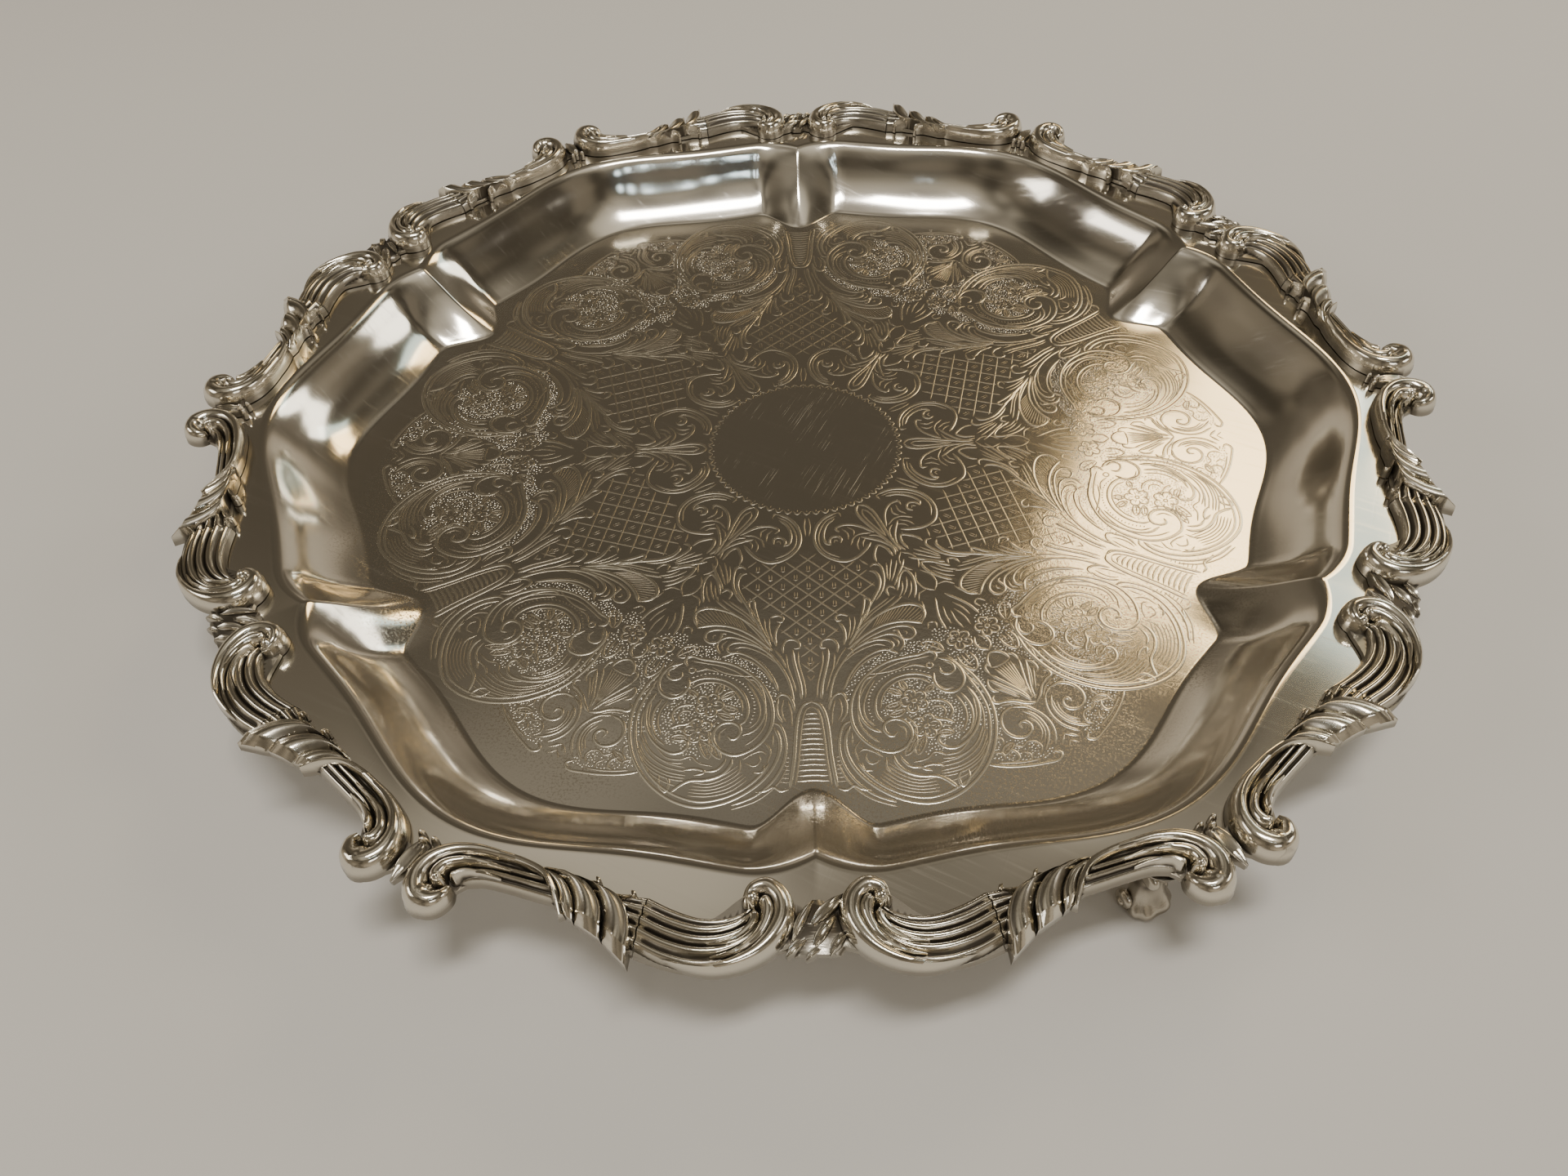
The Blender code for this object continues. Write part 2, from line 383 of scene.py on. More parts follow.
# ---- the tray ------------------------------------------------------------
def tray_rings(angles):
    """Rings of the upper face from the middle outwards, as (radii, heights, slope factor)."""
    rings = [(np.full_like(angles, r), FLOOR, 1.0) for r in (28.0, 56.0, 84.0, 106.0, 117.0, FLAT_FLOOR)]
    wall = smooth_path(WALL, count=34)
    rise = np.gradient(wall[:, 1]) / np.maximum(-np.gradient(wall[:, 0]), 1e-3)
    for (inset, height), slope in zip(wall, rise):
        down = 1 - height / RIM_RISE
        step = PLEAT_AT_RIM + PLEAT_TO_FLOOR * down
        # a tenth of a millimetre of hammering, fading out where the wall meets the floor
        turn = np.radians(angles)
        dent = 0.10 * np.sin(turn * 17 + 1.3) * np.sin(turn * 5 + height * 0.3) * min(1, height)
        radii = crease(angles) - inset - step * pleat(angles, down ** 0.6) + dent
        rings.append((radii, FLOOR + height, hypot(1, slope)))
    start = crease(angles) - PLEAT_AT_RIM * pleat(angles, 0.0)
    edge = read(SHEET_EDGE, folded(angles))
    for share in (0.04, 0.12, 0.3, 0.5, 0.7, 0.86, 0.95, 0.985, 1.0):
        sag = 0.22 * sin(pi * share) if share < 1 else 0
        rings.append((start + share * (edge - start), RIM - sag, 1.0))
    return rings


def make_tray():
    """The sheet: its upper face, its rounded edge and its underside, closed at the middle."""
    share = np.concatenate([np.linspace(0, 6, 25)[:-1], np.linspace(6, 54, 65)[:-1],
                            np.linspace(54, 60, 25)[:-1]])
    angles = (np.arange(LOBES)[:, None] * LOBE + share[None]).ravel()
    turn = np.radians(angles + FRONT)
    sides = len(angles)

    def ring(radii, height):
        return np.stack([radii * np.cos(turn), radii * np.sin(turn), np.full(sides, height)], 1)

    rings = tray_rings(angles)
    top = [ring(radii, z) for radii, z, _ in rings]
    low = [ring(radii, z - SHEET * slope) for radii, z, slope in rings]
    edge_radii, edge_z, _ = rings[-1]
    rounds = [ring(edge_radii + EDGE_ROUND * cos(a), edge_z - SHEET / 2 + SHEET / 2 * sin(a))
              for a in (0.9, 0.3, -0.3, -0.9)]
    rows = top + rounds + low[::-1]
    points = np.concatenate(rows + [np.array([[0, 0, FLOOR], [0, 0, FLOOR - SHEET]])])
    faces = [face[::-1] for face in grid_faces(len(rows), sides, around=True)]
    middle, under = len(points) - 2, len(points) - 1
    start = (len(rows) - 1) * sides
    for j in range(sides):
        k = (j + 1) % sides
        faces.append((middle, j, k))
        faces.append((under, start + k, start + j))
    return finished("tray_sheet", new_mesh("tray_sheet", points, faces), PLATE)


# ---- the chased floor ------------------------------------------------------
# Motifs are drawn on a sector: x across it, y outwards from the middle. Each stroke is (half width, points).
BOLD, MEDIUM, FINE = 0.56, 0.46, 0.30
PETALS = 5
LINE_SHARP = 62                # degrees past which a chased edge stays sharp
DOT_CLEAR, DOT_SPACING = 0.56, 0.66  # a punched dot from the nearest line and from the nearest dot


def circle(x, y, radius, count):
    turn = np.linspace(0, 2 * pi, count + 1)
    return [(x + radius * cos(a), y + radius * sin(a)) for a in turn]


def flower(x, y, reach=2.35, petal=1.4, turn=0.3):
    """Five rolled petals round a small boss."""
    strokes = [(FINE, circle(x, y, 0.62, 9))]
    for k in range(PETALS):
        a = turn + 2 * pi * k / PETALS
        cx, cy = x + reach * cos(a), y + reach * sin(a)
        arc = [(cx + petal * cos(b), cy + petal * sin(b)) for b in np.linspace(a - 2.5, a + 2.5, 11)]
        strokes.append((0.38, arc))
        strokes.append((0.2, [(x + 1.0 * cos(a), y + 1.0 * sin(a)), (x + 2.5 * cos(a), y + 2.5 * sin(a))]))
    return strokes


def leaf(base, tip, width, bend=0.0, veins=3):
    """A pointed leaf: two edges, a midrib and side veins."""
    base, tip = np.array(base, float), np.array(tip, float)
    along = tip - base
    side = np.array([-along[1], along[0]]) / hypot(*along)

    def at(share, across):
        sway = bend * sin(pi * share)
        swell = sin(pi * min(1, share * 0.94 + 0.03)) ** 0.8
        return tuple(base + along * share + side * (across * width * swell + sway))

    strokes = [(0.38, [at(s, side_sign) for s in (0, 0.2, 0.45, 0.7, 0.9)] + [tuple(tip)])
               for side_sign in (-1, 1)]
    strokes.append((0.26, [at(s, 0) for s in (0, 0.35, 0.8)]))
    for k in range(veins):
        s = 0.2 + 0.5 * k / max(1, veins - 1)
        for side_sign in (-1, 1):
            strokes.append((0.18, [at(s, 0.08 * side_sign), at(s + 0.13, 0.62 * side_sign)]))
    return strokes


def hatch(one, other, count, width=0.2):
    """Fine strokes from one line across to another."""
    a, b = smooth_path(one, count=count), smooth_path(other, count=count)
    return [(width, [tuple(p * (1 - s) + q * s) for s in (0.08, 0.5, 0.92)]) for p, q in zip(a, b)]


def both_sides(strokes):
    """The strokes and their mirror image across the sector's axis."""
    return strokes + [(width, [(-x, y) for x, y in points]) for width, points in strokes]


def inside(polygon, x, y):
    """True if an odd number of the polygon's sides lie beyond the point."""
    found = False
    for (x1, y1), (x2, y2) in zip(polygon, polygon[1:] + polygon[:1]):
        if (y1 > y) != (y2 > y) and x < (x2 - x1) * (y - y1) / (y2 - y1) + x1:
            found = not found
    return found


def centre_scrolls():
    """Round scrolls beside each pleat's axis, next to the plain middle."""
    return both_sides([
        (BOLD, [(-8.6, 30.6), (-5.6, 32.4), (-3.2, 35.6), (-2.1, 39.5), (-2.4, 43.5), (-4.4, 47.2),
                (-7.6, 49.6), (-11, 50.4), (-14.4, 49.0), (-17, 46.2), (-18.8, 43.2)]),
        (FINE, [(-8.8, 31.8), (-6.0, 33.6), (-4.1, 37.0), (-3.3, 40.6), (-3.8, 44.0), (-5.8, 46.8),
                (-9.4, 48.8)]),
        (MEDIUM, [(-8.4, 33.0), (-6.2, 35.2), (-5.0, 38.4), (-4.9, 41.2), (-5.6, 43.2), (-7.0, 43.9)]),
        (MEDIUM, [(-7.0, 43.9), (-6.5, 42.2), (-7.4, 40.7), (-8.9, 40.3), (-10.1, 41.4), (-9.9, 43.1)]),
        (FINE, [(-7.9, 43.0), (-8.3, 41.8), (-9.2, 42.3)]),
        (MEDIUM, [(-20, 39.0), (-16.5, 36.7), (-13.4, 35.6), (-10.4, 35.8), (-8.5, 37.3), (-9.6, 38.7)]),
        (FINE, [(-19, 39.2), (-15.8, 39.5), (-13.8, 41.1), (-12.8, 44.2)]),
        (FINE, [(-13.9, 40.2), (-13.8, 38.0), (-12.0, 36.6)]),
        (FINE, [(-12.2, 41.8), (-12.0, 39.2), (-10.4, 37.4)]),
        (FINE, [(-15.6, 41.0), (-14.7, 43.8), (-15.2, 46.0)]),
        (FINE, [(-17.4, 41.4), (-16.4, 43.2), (-16.6, 44.8)]),
        (MEDIUM, [(-25.8, 48.2), (-25.0, 45.2), (-22.4, 43.0), (-19, 41.6), (-16, 40.8)]),
        (MEDIUM, [(-25.0, 48.8), (-23.2, 45.6), (-20.9, 44.2), (-19.9, 46.3), (-19.5, 48.8), (-20.1, 51.0)]),
        (FINE, [(-24.2, 44.4), (-23.0, 42.0), (-20.4, 40.2), (-18.4, 40.2)]),
        (FINE, [(-10.4, 32.2), (-9.6, 30.4), (-8.4, 30.9)]),
        (FINE, [(-0.5, 32.5), (-0.9, 36.0), (-0.5, 40.0)]),
    ])


TRELLIS_EDGE = [(0, 45.5), (-4.4, 48.4), (-7.6, 50.6), (-11, 51.4), (-14.4, 50.1), (-17.2, 47.4),
                (-18.4, 50.0), (-17.4, 53.4), (-19.4, 56.6), (-19.3, 61.0), (-17.2, 64.6), (-14.6, 66.8),
                (-12, 69.6), (-8.6, 70.0), (-6.6, 72.6), (-8.4, 76.0), (-8.4, 78.6), (-5.5, 78.2),
                (-2.4, 80.4), (-3.0, 86.0), (-2.2, 90.5), (0, 92)]
TRELLIS_X, TRELLIS_Y, TRELLIS_START = 3.65, 3.35, 56.2


def trellis():
    """A diagonal lattice with a pair of ticks in every diamond."""
    edge = TRELLIS_EDGE + [(-x, y) for x, y in TRELLIS_EDGE[::-1]]
    strokes = []
    for k in range(-9, 12):
        for lean in (-1, 1):
            run = []
            for s in np.arange(-24, 24.01, 0.5):
                x, y = s, TRELLIS_START + 2 * TRELLIS_Y * k + lean * s * TRELLIS_Y / TRELLIS_X
                if inside(edge, x, y):
                    run.append((x, y))
                else:
                    if len(run) > 3:
                        strokes.append((0.3, [run[0], run[len(run) // 2], run[-1]]))
                    run = []
    for i in range(-6, 7):
        for j in range(-6, 12):
            x, y = TRELLIS_X * i, TRELLIS_START + TRELLIS_Y * (2 * j + 1 + i % 2)
            if all(inside(edge, x + dx, y + dy) for dx in (-0.9, 0.9) for dy in (-1.1, 1.1)):
                strokes += [(0.24, [(x + dx, y - 0.95), (x + dx, y + 0.85)]) for dx in (-0.38, 0.38)]
                strokes.append((0.2, [(x - 0.7, y + 1.0), (x, y + 1.25), (x + 0.7, y + 1.0)]))
    return strokes


def leaf_sides():
    """Leaves and double lines bounding the trellis, running down to the stems."""
    return both_sides([
        (MEDIUM, [(-18.0, 52.9), (-19.2, 51.7), (-20.8, 52.3), (-21.6, 55.0), (-21.7, 58.5), (-20.9, 62.0),
                  (-19.0, 65.6)]),
        (BOLD, [(-17.8, 54.4), (-19.2, 54.8), (-20.4, 57.4), (-20.2, 60.6), (-18.8, 64.0), (-17.3, 67.0),
                (-14.9, 72.0), (-12.8, 77.0), (-10.9, 81.0)]),
        (MEDIUM, [(-30.0, 65.0), (-30.5, 60.6), (-29.8, 56.4), (-28.1, 54.3), (-26.5, 56.2), (-25.7, 59.6),
                  (-25.3, 62.2)]),
        (FINE, [(-28.2, 57.0), (-28.0, 60.6), (-27.0, 64.0)]),
        (FINE, [(-29.4, 58.6), (-29.2, 62.0), (-28.2, 65.0)]),
        (FINE, [(-26.9, 58.6), (-26.7, 61.8), (-25.6, 64.8)]),
        (MEDIUM, [(-28.0, 50.2), (-27.0, 53.4), (-25.7, 56.8), (-24.6, 60.2)]),
        (FINE, [(-24.4, 50.0), (-23.7, 54.0), (-23.3, 58.4)]),
        (FINE, [(-25.9, 50.6), (-25.0, 54.6), (-23.9, 58.6)]),
        (FINE, [(-22.8, 51.4), (-22.7, 54.8), (-22.8, 57.8)]),
        (MEDIUM, [(-24.8, 61.6), (-23.3, 60.4), (-22.1, 61.8), (-22.8, 64.2)]),
        (MEDIUM, [(-26.4, 64.4), (-22.8, 68.0), (-18.4, 71.8), (-14.8, 76.2), (-11.7, 80.8)]),
        (FINE, [(-24.6, 64.2), (-21.6, 67.0), (-17.6, 70.6), (-14.2, 75.0), (-11.4, 79.8)]),
        (FINE, [(-22.6, 64.8), (-20.4, 66.8), (-17.2, 69.8), (-15.2, 72.4)]),
        (MEDIUM, [(-15.2, 73.0), (-16.7, 68.6), (-17.1, 65.5), (-15.9, 64.6), (-15.3, 68.0), (-14.1, 73.0),
                  (-11.9, 79.0)]),
        (FINE, [(-12.6, 71.6), (-12.4, 75.0), (-11.0, 79.6)]),
        (FINE, [(-11.2, 71.6), (-11.2, 75.4), (-10.3, 80.0)]),
        (MEDIUM, [(-10.8, 71.2), (-8.8, 70.4), (-7.3, 71.5), (-7.9, 72.9), (-9.1, 72.6)]),
        (BOLD, [(-8.1, 73.2), (-9.4, 75.8), (-9.7, 78.6), (-9.3, 81.4)]),
        (MEDIUM, [(-7.4, 84.0), (-7.5, 81.4), (-6.4, 79.5), (-4.5, 79.2), (-3.0, 80.4), (-3.1, 82.2),
                  (-4.4, 82.4)]),
        (BOLD, [(-4.9, 82.8), (-4.6, 86.4), (-3.7, 91.0), (-2.9, 95.0), (-2.6, 99.4)]),
        (FINE, [(-3.3, 83.6), (-3.3, 87.0), (-2.5, 91.0), (-1.7, 95.0), (-1.5, 99.0)]),
        (FINE, [(-6.6, 84.4), (-6.2, 88.6), (-5.0, 92.8), (-4.0, 97.0)]),
        (FINE, [(-1.0, 87.0), (-0.2, 88.6)]),
        (FINE, [(-1.0, 91.6), (0.0, 93.4)]),
    ])


BAND_TOP = [(-10.7, 81.5), (-12.8, 77.5), (-16, 73.6), (-20, 70.4), (-24.5, 68.0), (-28.6, 67.2),
            (-31.4, 68.2), (-32.3, 70.4), (-31.5, 73.6)]
BAND_LOW = [(-10.3, 83.0), (-13.4, 79.6), (-17, 76.6), (-21, 74.4), (-25.4, 73.4), (-29, 73.6), (-31.3, 74.3)]


def leaf_bands():
    """Hatched leaf bands and small volutes that bracket the trellis from below."""
    return both_sides([
        (BOLD, BAND_TOP), (BOLD, BAND_LOW),
        (MEDIUM, [(-23.0, 76.8), (-24.1, 76.5), (-24.7, 78.1), (-25.6, 79.5), (-27.7, 79.6), (-29.1, 78.0),
                  (-28.4, 75.9), (-26.0, 75.0), (-22.5, 75.6), (-18.8, 77.3), (-15.2, 79.6), (-12.0, 82.6)]),
        (FINE, [(-26.0, 77.0), (-26.9, 77.4), (-26.6, 78.3)]),
        (FINE, [(-19.2, 75.6), (-16.4, 77.4), (-13.6, 80.0), (-11.2, 83.2)]),
        (MEDIUM, [(-9.7, 85.4), (-12.4, 82.8), (-15.6, 80.8), (-19.0, 79.8), (-21.6, 80.2), (-22.8, 81.8),
                  (-21.8, 83.4), (-20.2, 83.2)]),
        (FINE, [(-9.0, 87.4), (-11.6, 84.8), (-15.0, 82.6), (-18.6, 81.4), (-20.6, 82.0)]),
        (FINE, [(-10.9, 82.2), (-11.8, 84.8)]),
        (FINE, [(-9.8, 82.6), (-8.0, 85.4), (-6.6, 89.0)]),
    ] + hatch(BAND_TOP[3:], BAND_LOW[2:], 17))


def ear_outlines():
    """The large round scroll either side of each pleat's axis."""
    return both_sides([
        (BOLD, [(-40.4, 89.2), (-43.8, 93.4), (-46.2, 98.6), (-47.5, 104), (-47.4, 110), (-46.1, 116),
                (-43.5, 121.4), (-39.7, 126), (-34.7, 129.6), (-28.8, 131.3), (-22.8, 130.4), (-17.4, 127.8),
                (-13.0, 124.2), (-10.0, 120.0), (-8.5, 115.4), (-8.6, 111.4), (-9.9, 108.2)]),
        (MEDIUM, [(-41.8, 93.2), (-44.6, 98.8), (-46.0, 104), (-45.9, 110), (-44.7, 115.4), (-42.3, 120.4),
                  (-38.7, 124.8), (-34.1, 128.0), (-28.6, 129.7), (-23.2, 129.0), (-18.0, 126.6),
                  (-13.8, 123.0), (-11.2, 119.2)]),
        (FINE, [(-42.6, 97.4), (-44.6, 104), (-44.4, 110)]),
        (MEDIUM, [(-20.4, 131.0), (-14.6, 128.4), (-10.0, 124.0), (-7.3, 118.4), (-6.9, 112.4), (-8.4, 107.6),
                  (-10.2, 106.6)]),
        (FINE, [(-20.4, 132.2), (-13.9, 129.6), (-8.9, 125.0), (-6.2, 119.4)]),
        (MEDIUM, [(-24.6, 83.8), (-25.7, 81.4), (-24.9, 79.0), (-22.4, 77.8), (-19.3, 78.5), (-15.5, 80.4),
                  (-11.6, 83.5), (-8.6, 87.6), (-6.4, 92.0), (-5.2, 96.6), (-4.7, 101.0)]),
        (FINE, [(-23.8, 82.6), (-24.3, 80.8), (-22.8, 79.2)]),
        (MEDIUM, [(-24.0, 84.8), (-22.0, 83.8), (-20.0, 83.3), (-16.0, 85.1), (-12.6, 88.4), (-10.2, 92.4),
                  (-8.7, 96.6)]),
        (FINE, [(-19.4, 84.8), (-15.6, 86.8), (-12.4, 90.0), (-10.2, 94.0)]),
        (BOLD, [(-33.4, 87.6), (-34.1, 85.6), (-32.5, 84.2), (-29.6, 85.2), (-25.6, 86.0), (-21.0, 87.4),
                (-16.8, 90.2), (-13.2, 94.2), (-11.0, 98.8), (-10.2, 103.6), (-10.8, 108.4), (-13.0, 112.4),
                (-16.4, 115.2), (-20.0, 116.4), (-23.4, 115.2), (-25.5, 112.2), (-25.4, 108.8),
                (-23.4, 106.6), (-20.6, 106.4), (-18.7, 108.1), (-19.0, 110.4), (-20.7, 111.6),
                (-22.0, 110.4)]),
        (FINE, [(-32.2, 85.9), (-28.0, 86.8), (-23.0, 88.2), (-18.4, 91.0), (-15.0, 94.8), (-12.8, 99.2),
                (-12.0, 103.6), (-12.5, 107.8), (-14.6, 111.2), (-17.4, 113.6)]),
        (MEDIUM, [(-17.3, 92.4), (-15.2, 92.8), (-13.0, 96.6), (-12.3, 101.4), (-12.8, 105.6), (-14.9, 108.8),
                  (-18.0, 110.4)]),
        (FINE, [(-17.0, 93.6), (-15.0, 97.4), (-13.6, 102.4), (-14.2, 106.0), (-16.4, 108.4)]),
        (FINE, [(-24.4, 114.0), (-26.6, 112.4), (-26.8, 108.6), (-24.6, 105.6)]),
        (FINE, [(-24.0, 112.4), (-24.0, 109.6), (-22.2, 108.0)]),
        (MEDIUM, [(-32.8, 93.4), (-29.6, 91.9), (-26.0, 91.8), (-22.4, 93.0), (-19.4, 95.4), (-17.3, 99.0),
                  (-16.7, 102.8), (-17.4, 105.8), (-18.8, 107.2)]),
        (FINE, [(-31.8, 95.0), (-29.2, 93.4), (-26.0, 93.2), (-23.0, 94.2), (-20.4, 96.4), (-18.6, 99.6),
                (-18.1, 103.0)]),
        (FINE, [(-26.6, 88.2), (-23.0, 90.2), (-19.0, 91.2), (-15.6, 91.6)]),
        (FINE, [(-31.0, 89.6), (-28.0, 88.8), (-24.8, 89.9)]),
        (BOLD, [(-34.6, 86.6), (-37.6, 87.4), (-40.0, 90.0), (-40.9, 93.4), (-39.8, 96.5), (-37.2, 98.0),
                (-34.4, 97.1), (-32.8, 94.4), (-33.0, 91.6)]),
        (MEDIUM, [(-36.0, 87.6), (-38.3, 88.8), (-38.6, 90.8), (-36.9, 92.0), (-35.0, 91.3), (-34.7, 89.6)]),
        (FINE, circle(-32.1, 89.0, 0.9, 9)),
        (FINE, [(-33.6, 95.4), (-35.6, 97.0), (-38.0, 96.6)]),
        (BOLD, [(-41.4, 96.4), (-43.4, 100.8), (-43.6, 105.6), (-42.2, 110.0), (-39.6, 113.4), (-36.4, 115.4),
                (-33.8, 115.1), (-32.2, 113.3), (-32.9, 111.6), (-34.5, 112.2)]),
        (MEDIUM, [(-39.6, 98.4), (-41.6, 102.4), (-41.8, 106.6), (-40.5, 110.4), (-38.0, 113.0)]),
        (FINE, [(-38.2, 99.0), (-40.1, 103.0), (-40.3, 106.6), (-39.2, 109.8)]),
        (FINE, [(-42.5, 98.8), (-42.7, 106.0), (-40.4, 111.8)]),
    ])


def ear_foliage():
    """Flowers, leaves and the ribbed sweep inside each large scroll."""
    strokes = flower(-27.0, 100.6, turn=0.1) + flower(-29.6, 108.6, turn=0.7)
    sweeps = [((-45.0, 111.4), (-42.4, 117.0), (-37.6, 120.6), (-32.2, 122.2)),
              ((-44.2, 108.8), (-41.8, 114.2), (-37.6, 118.0), (-32.4, 119.8)),
              ((-43.4, 111.6), (-40.8, 115.4), (-37.0, 118.0), (-33.0, 118.6)),
              ((-45.2, 114.2), (-42.0, 119.4), (-37.4, 122.6), (-32.6, 123.8)),
              ((-44.0, 117.4), (-41.0, 121.4), (-37.6, 123.8), (-34.4, 125.2)),
              ((-44.6, 110.0), (-42.0, 115.6), (-37.6, 119.3), (-32.3, 121.0)),
              ((-45.2, 112.8), (-42.2, 118.2), (-37.5, 121.6), (-32.4, 123.0)),
              ((-40.6, 112.8), (-37.4, 116.6), (-33.4, 117.6))]
    strokes += [(0.3, list(points)) for points in sweeps]
    strokes += [
        (MEDIUM, [(-39.0, 121.8), (-38.9, 124.8), (-37.0, 126.8), (-36.4, 123.8), (-37.8, 122.0)]),
        (BOLD, [(-36.0, 127.2), (-33.6, 125.0), (-31.2, 123.7), (-27.2, 123.5), (-23.2, 122.1),
                (-20.9, 119.4), (-20.6, 117.6)]),
        (MEDIUM, [(-33.0, 120.6), (-30.0, 120.2), (-27.4, 121.2), (-30.0, 122.2)]),
        (MEDIUM, [(-27.4, 121.2), (-24.4, 120.6), (-22.6, 118.6), (-22.2, 117.4)]),
        (FINE, [(-34.0, 117.6), (-31.0, 116.6), (-29.2, 118.4), (-25.6, 119.6)]),
        (FINE, [(-17.8, 117.8), (-15.6, 116.2), (-13.0, 115.4), (-11.8, 116.4)]),
        (FINE, [(-18.6, 118.0), (-18.6, 121.0), (-20.0, 123.0)]),
        (FINE, [(-17.2, 118.8), (-14.8, 119.8), (-13.4, 118.2), (-13.8, 116.6)]),
        (FINE, [(-12.4, 112.6), (-10.8, 115.4), (-11.6, 119.0)]),
        (FINE, [(-10.2, 110.4), (-10.2, 114.2)]),
        (MEDIUM, [(-15.0, 121.8), (-12.8, 121.4), (-12.4, 119.6)]),
        (MEDIUM, [(-30.9, 100.6), (-33.4, 100.4), (-35.8, 101.6), (-36.8, 104.0), (-35.9, 106.2)]),
        (FINE, [(-31.6, 102.6), (-33.8, 102.4), (-35.0, 104.0), (-34.4, 105.8)]),
        (MEDIUM, [(-37.0, 107.8), (-35.0, 106.8), (-32.6, 106.4), (-31.0, 105.0)]),
        (FINE, [(-36.0, 108.8), (-33.8, 108.4), (-32.8, 110.2)]),
    ]
    for k in range(6):
        d = 0.95 * k
        strokes.append((0.22, [(-31.5 + 0.2 * d, 128.0 - d), (-26.2, 128.3 - d * 0.95),
                               (-20.8 - 0.35 * d, 126.9 - d), (-16.6 - 0.5 * d, 123.8 - 0.9 * d)]))
    for base, tip, width, bend, veins in (((-25.2, 97.4), (-23.6, 93.9), 0.9, 0.0, 2),
                                          ((-24.0, 98.6), (-20.0, 96.4), 0.9, 0.0, 2),
                                          ((-23.8, 101.0), (-19.2, 102.8), 1.1, 0.4, 3),
                                          ((-29.0, 112.0), (-26.6, 117.4), 1.3, -0.5, 3),
                                          ((-26.6, 111.0), (-23.4, 117.6), 1.0, 0.5, 3),
                                          ((-24.6, 103.4), (-20.2, 105.2), 0.9, 0.2, 2),
                                          ((-30.2, 97.8), (-32.6, 95.6), 0.8, 0.0, 2),
                                          ((-32.4, 111.0), (-36.6, 110.8), 0.9, 0.3, 2)):
        strokes += leaf(base, tip, width, bend, veins)
    beads = smooth_path([(-31.6, 91.4), (-27.4, 90.2), (-22.4, 91.2), (-18.2, 94.0), (-15.6, 98.2),
                         (-15.0, 102.8), (-16.0, 106.4)], count=26)
    strokes += [(0.26, [(x - 0.35, y), (x + 0.35, y)]) for x, y in beads]
    return both_sides(strokes)


def ladders():
    """The tapering ribbed column on each pleat's axis and the small curls beside it."""
    outer = [(0, 100.3), (-1.9, 101.0), (-3.2, 103.4), (-4.0, 107.4), (-4.4, 112), (-4.7, 117), (-5.3, 122),
             (-5.9, 126.4)]
    inner = [(0, 101.9), (-1.3, 102.6), (-2.2, 104.8), (-2.8, 108.6), (-3.2, 113), (-3.6, 118), (-4.1, 122.6),
             (-4.6, 125.6)]
    strokes = both_sides([
        (BOLD, outer), (FINE, inner),
        (MEDIUM, [(-9.4, 99.4), (-8.0, 97.6), (-6.3, 98.2), (-5.0, 100.4), (-4.5, 103.0)]),
        (MEDIUM, [(-8.7, 98.9), (-9.2, 101.6), (-8.9, 104.4), (-7.6, 106.8)]),
        (FINE, [(-7.4, 99.6), (-7.9, 102.4), (-7.6, 104.8), (-6.8, 106.4)]),
        (FINE, [(-6.2, 100.0), (-5.4, 103.6), (-5.2, 108.0)]),
        (MEDIUM, [(-6.2, 126.8), (-8.2, 127.2), (-10.2, 126.0), (-12.0, 127.0), (-14.4, 127.4)]),
    ])
    for y in np.arange(103.9, 125.4, 1.56):
        half = float(np.interp(y, [p[1] for p in inner], [-p[0] for p in inner])) - 0.35
        strokes.append((0.44, [(-half, y + 0.35), (-half * 0.5, y + 0.05), (0, y - 0.05),
                               (half * 0.5, y + 0.05), (half, y + 0.35)]))
    for k in range(7):
        y = 117.6 + 1.2 * k
        strokes += both_sides([(0.2, [(-5.9 - 0.05 * k, y), (-6.8 - 0.24 * k, y - 0.15)])])
    return strokes


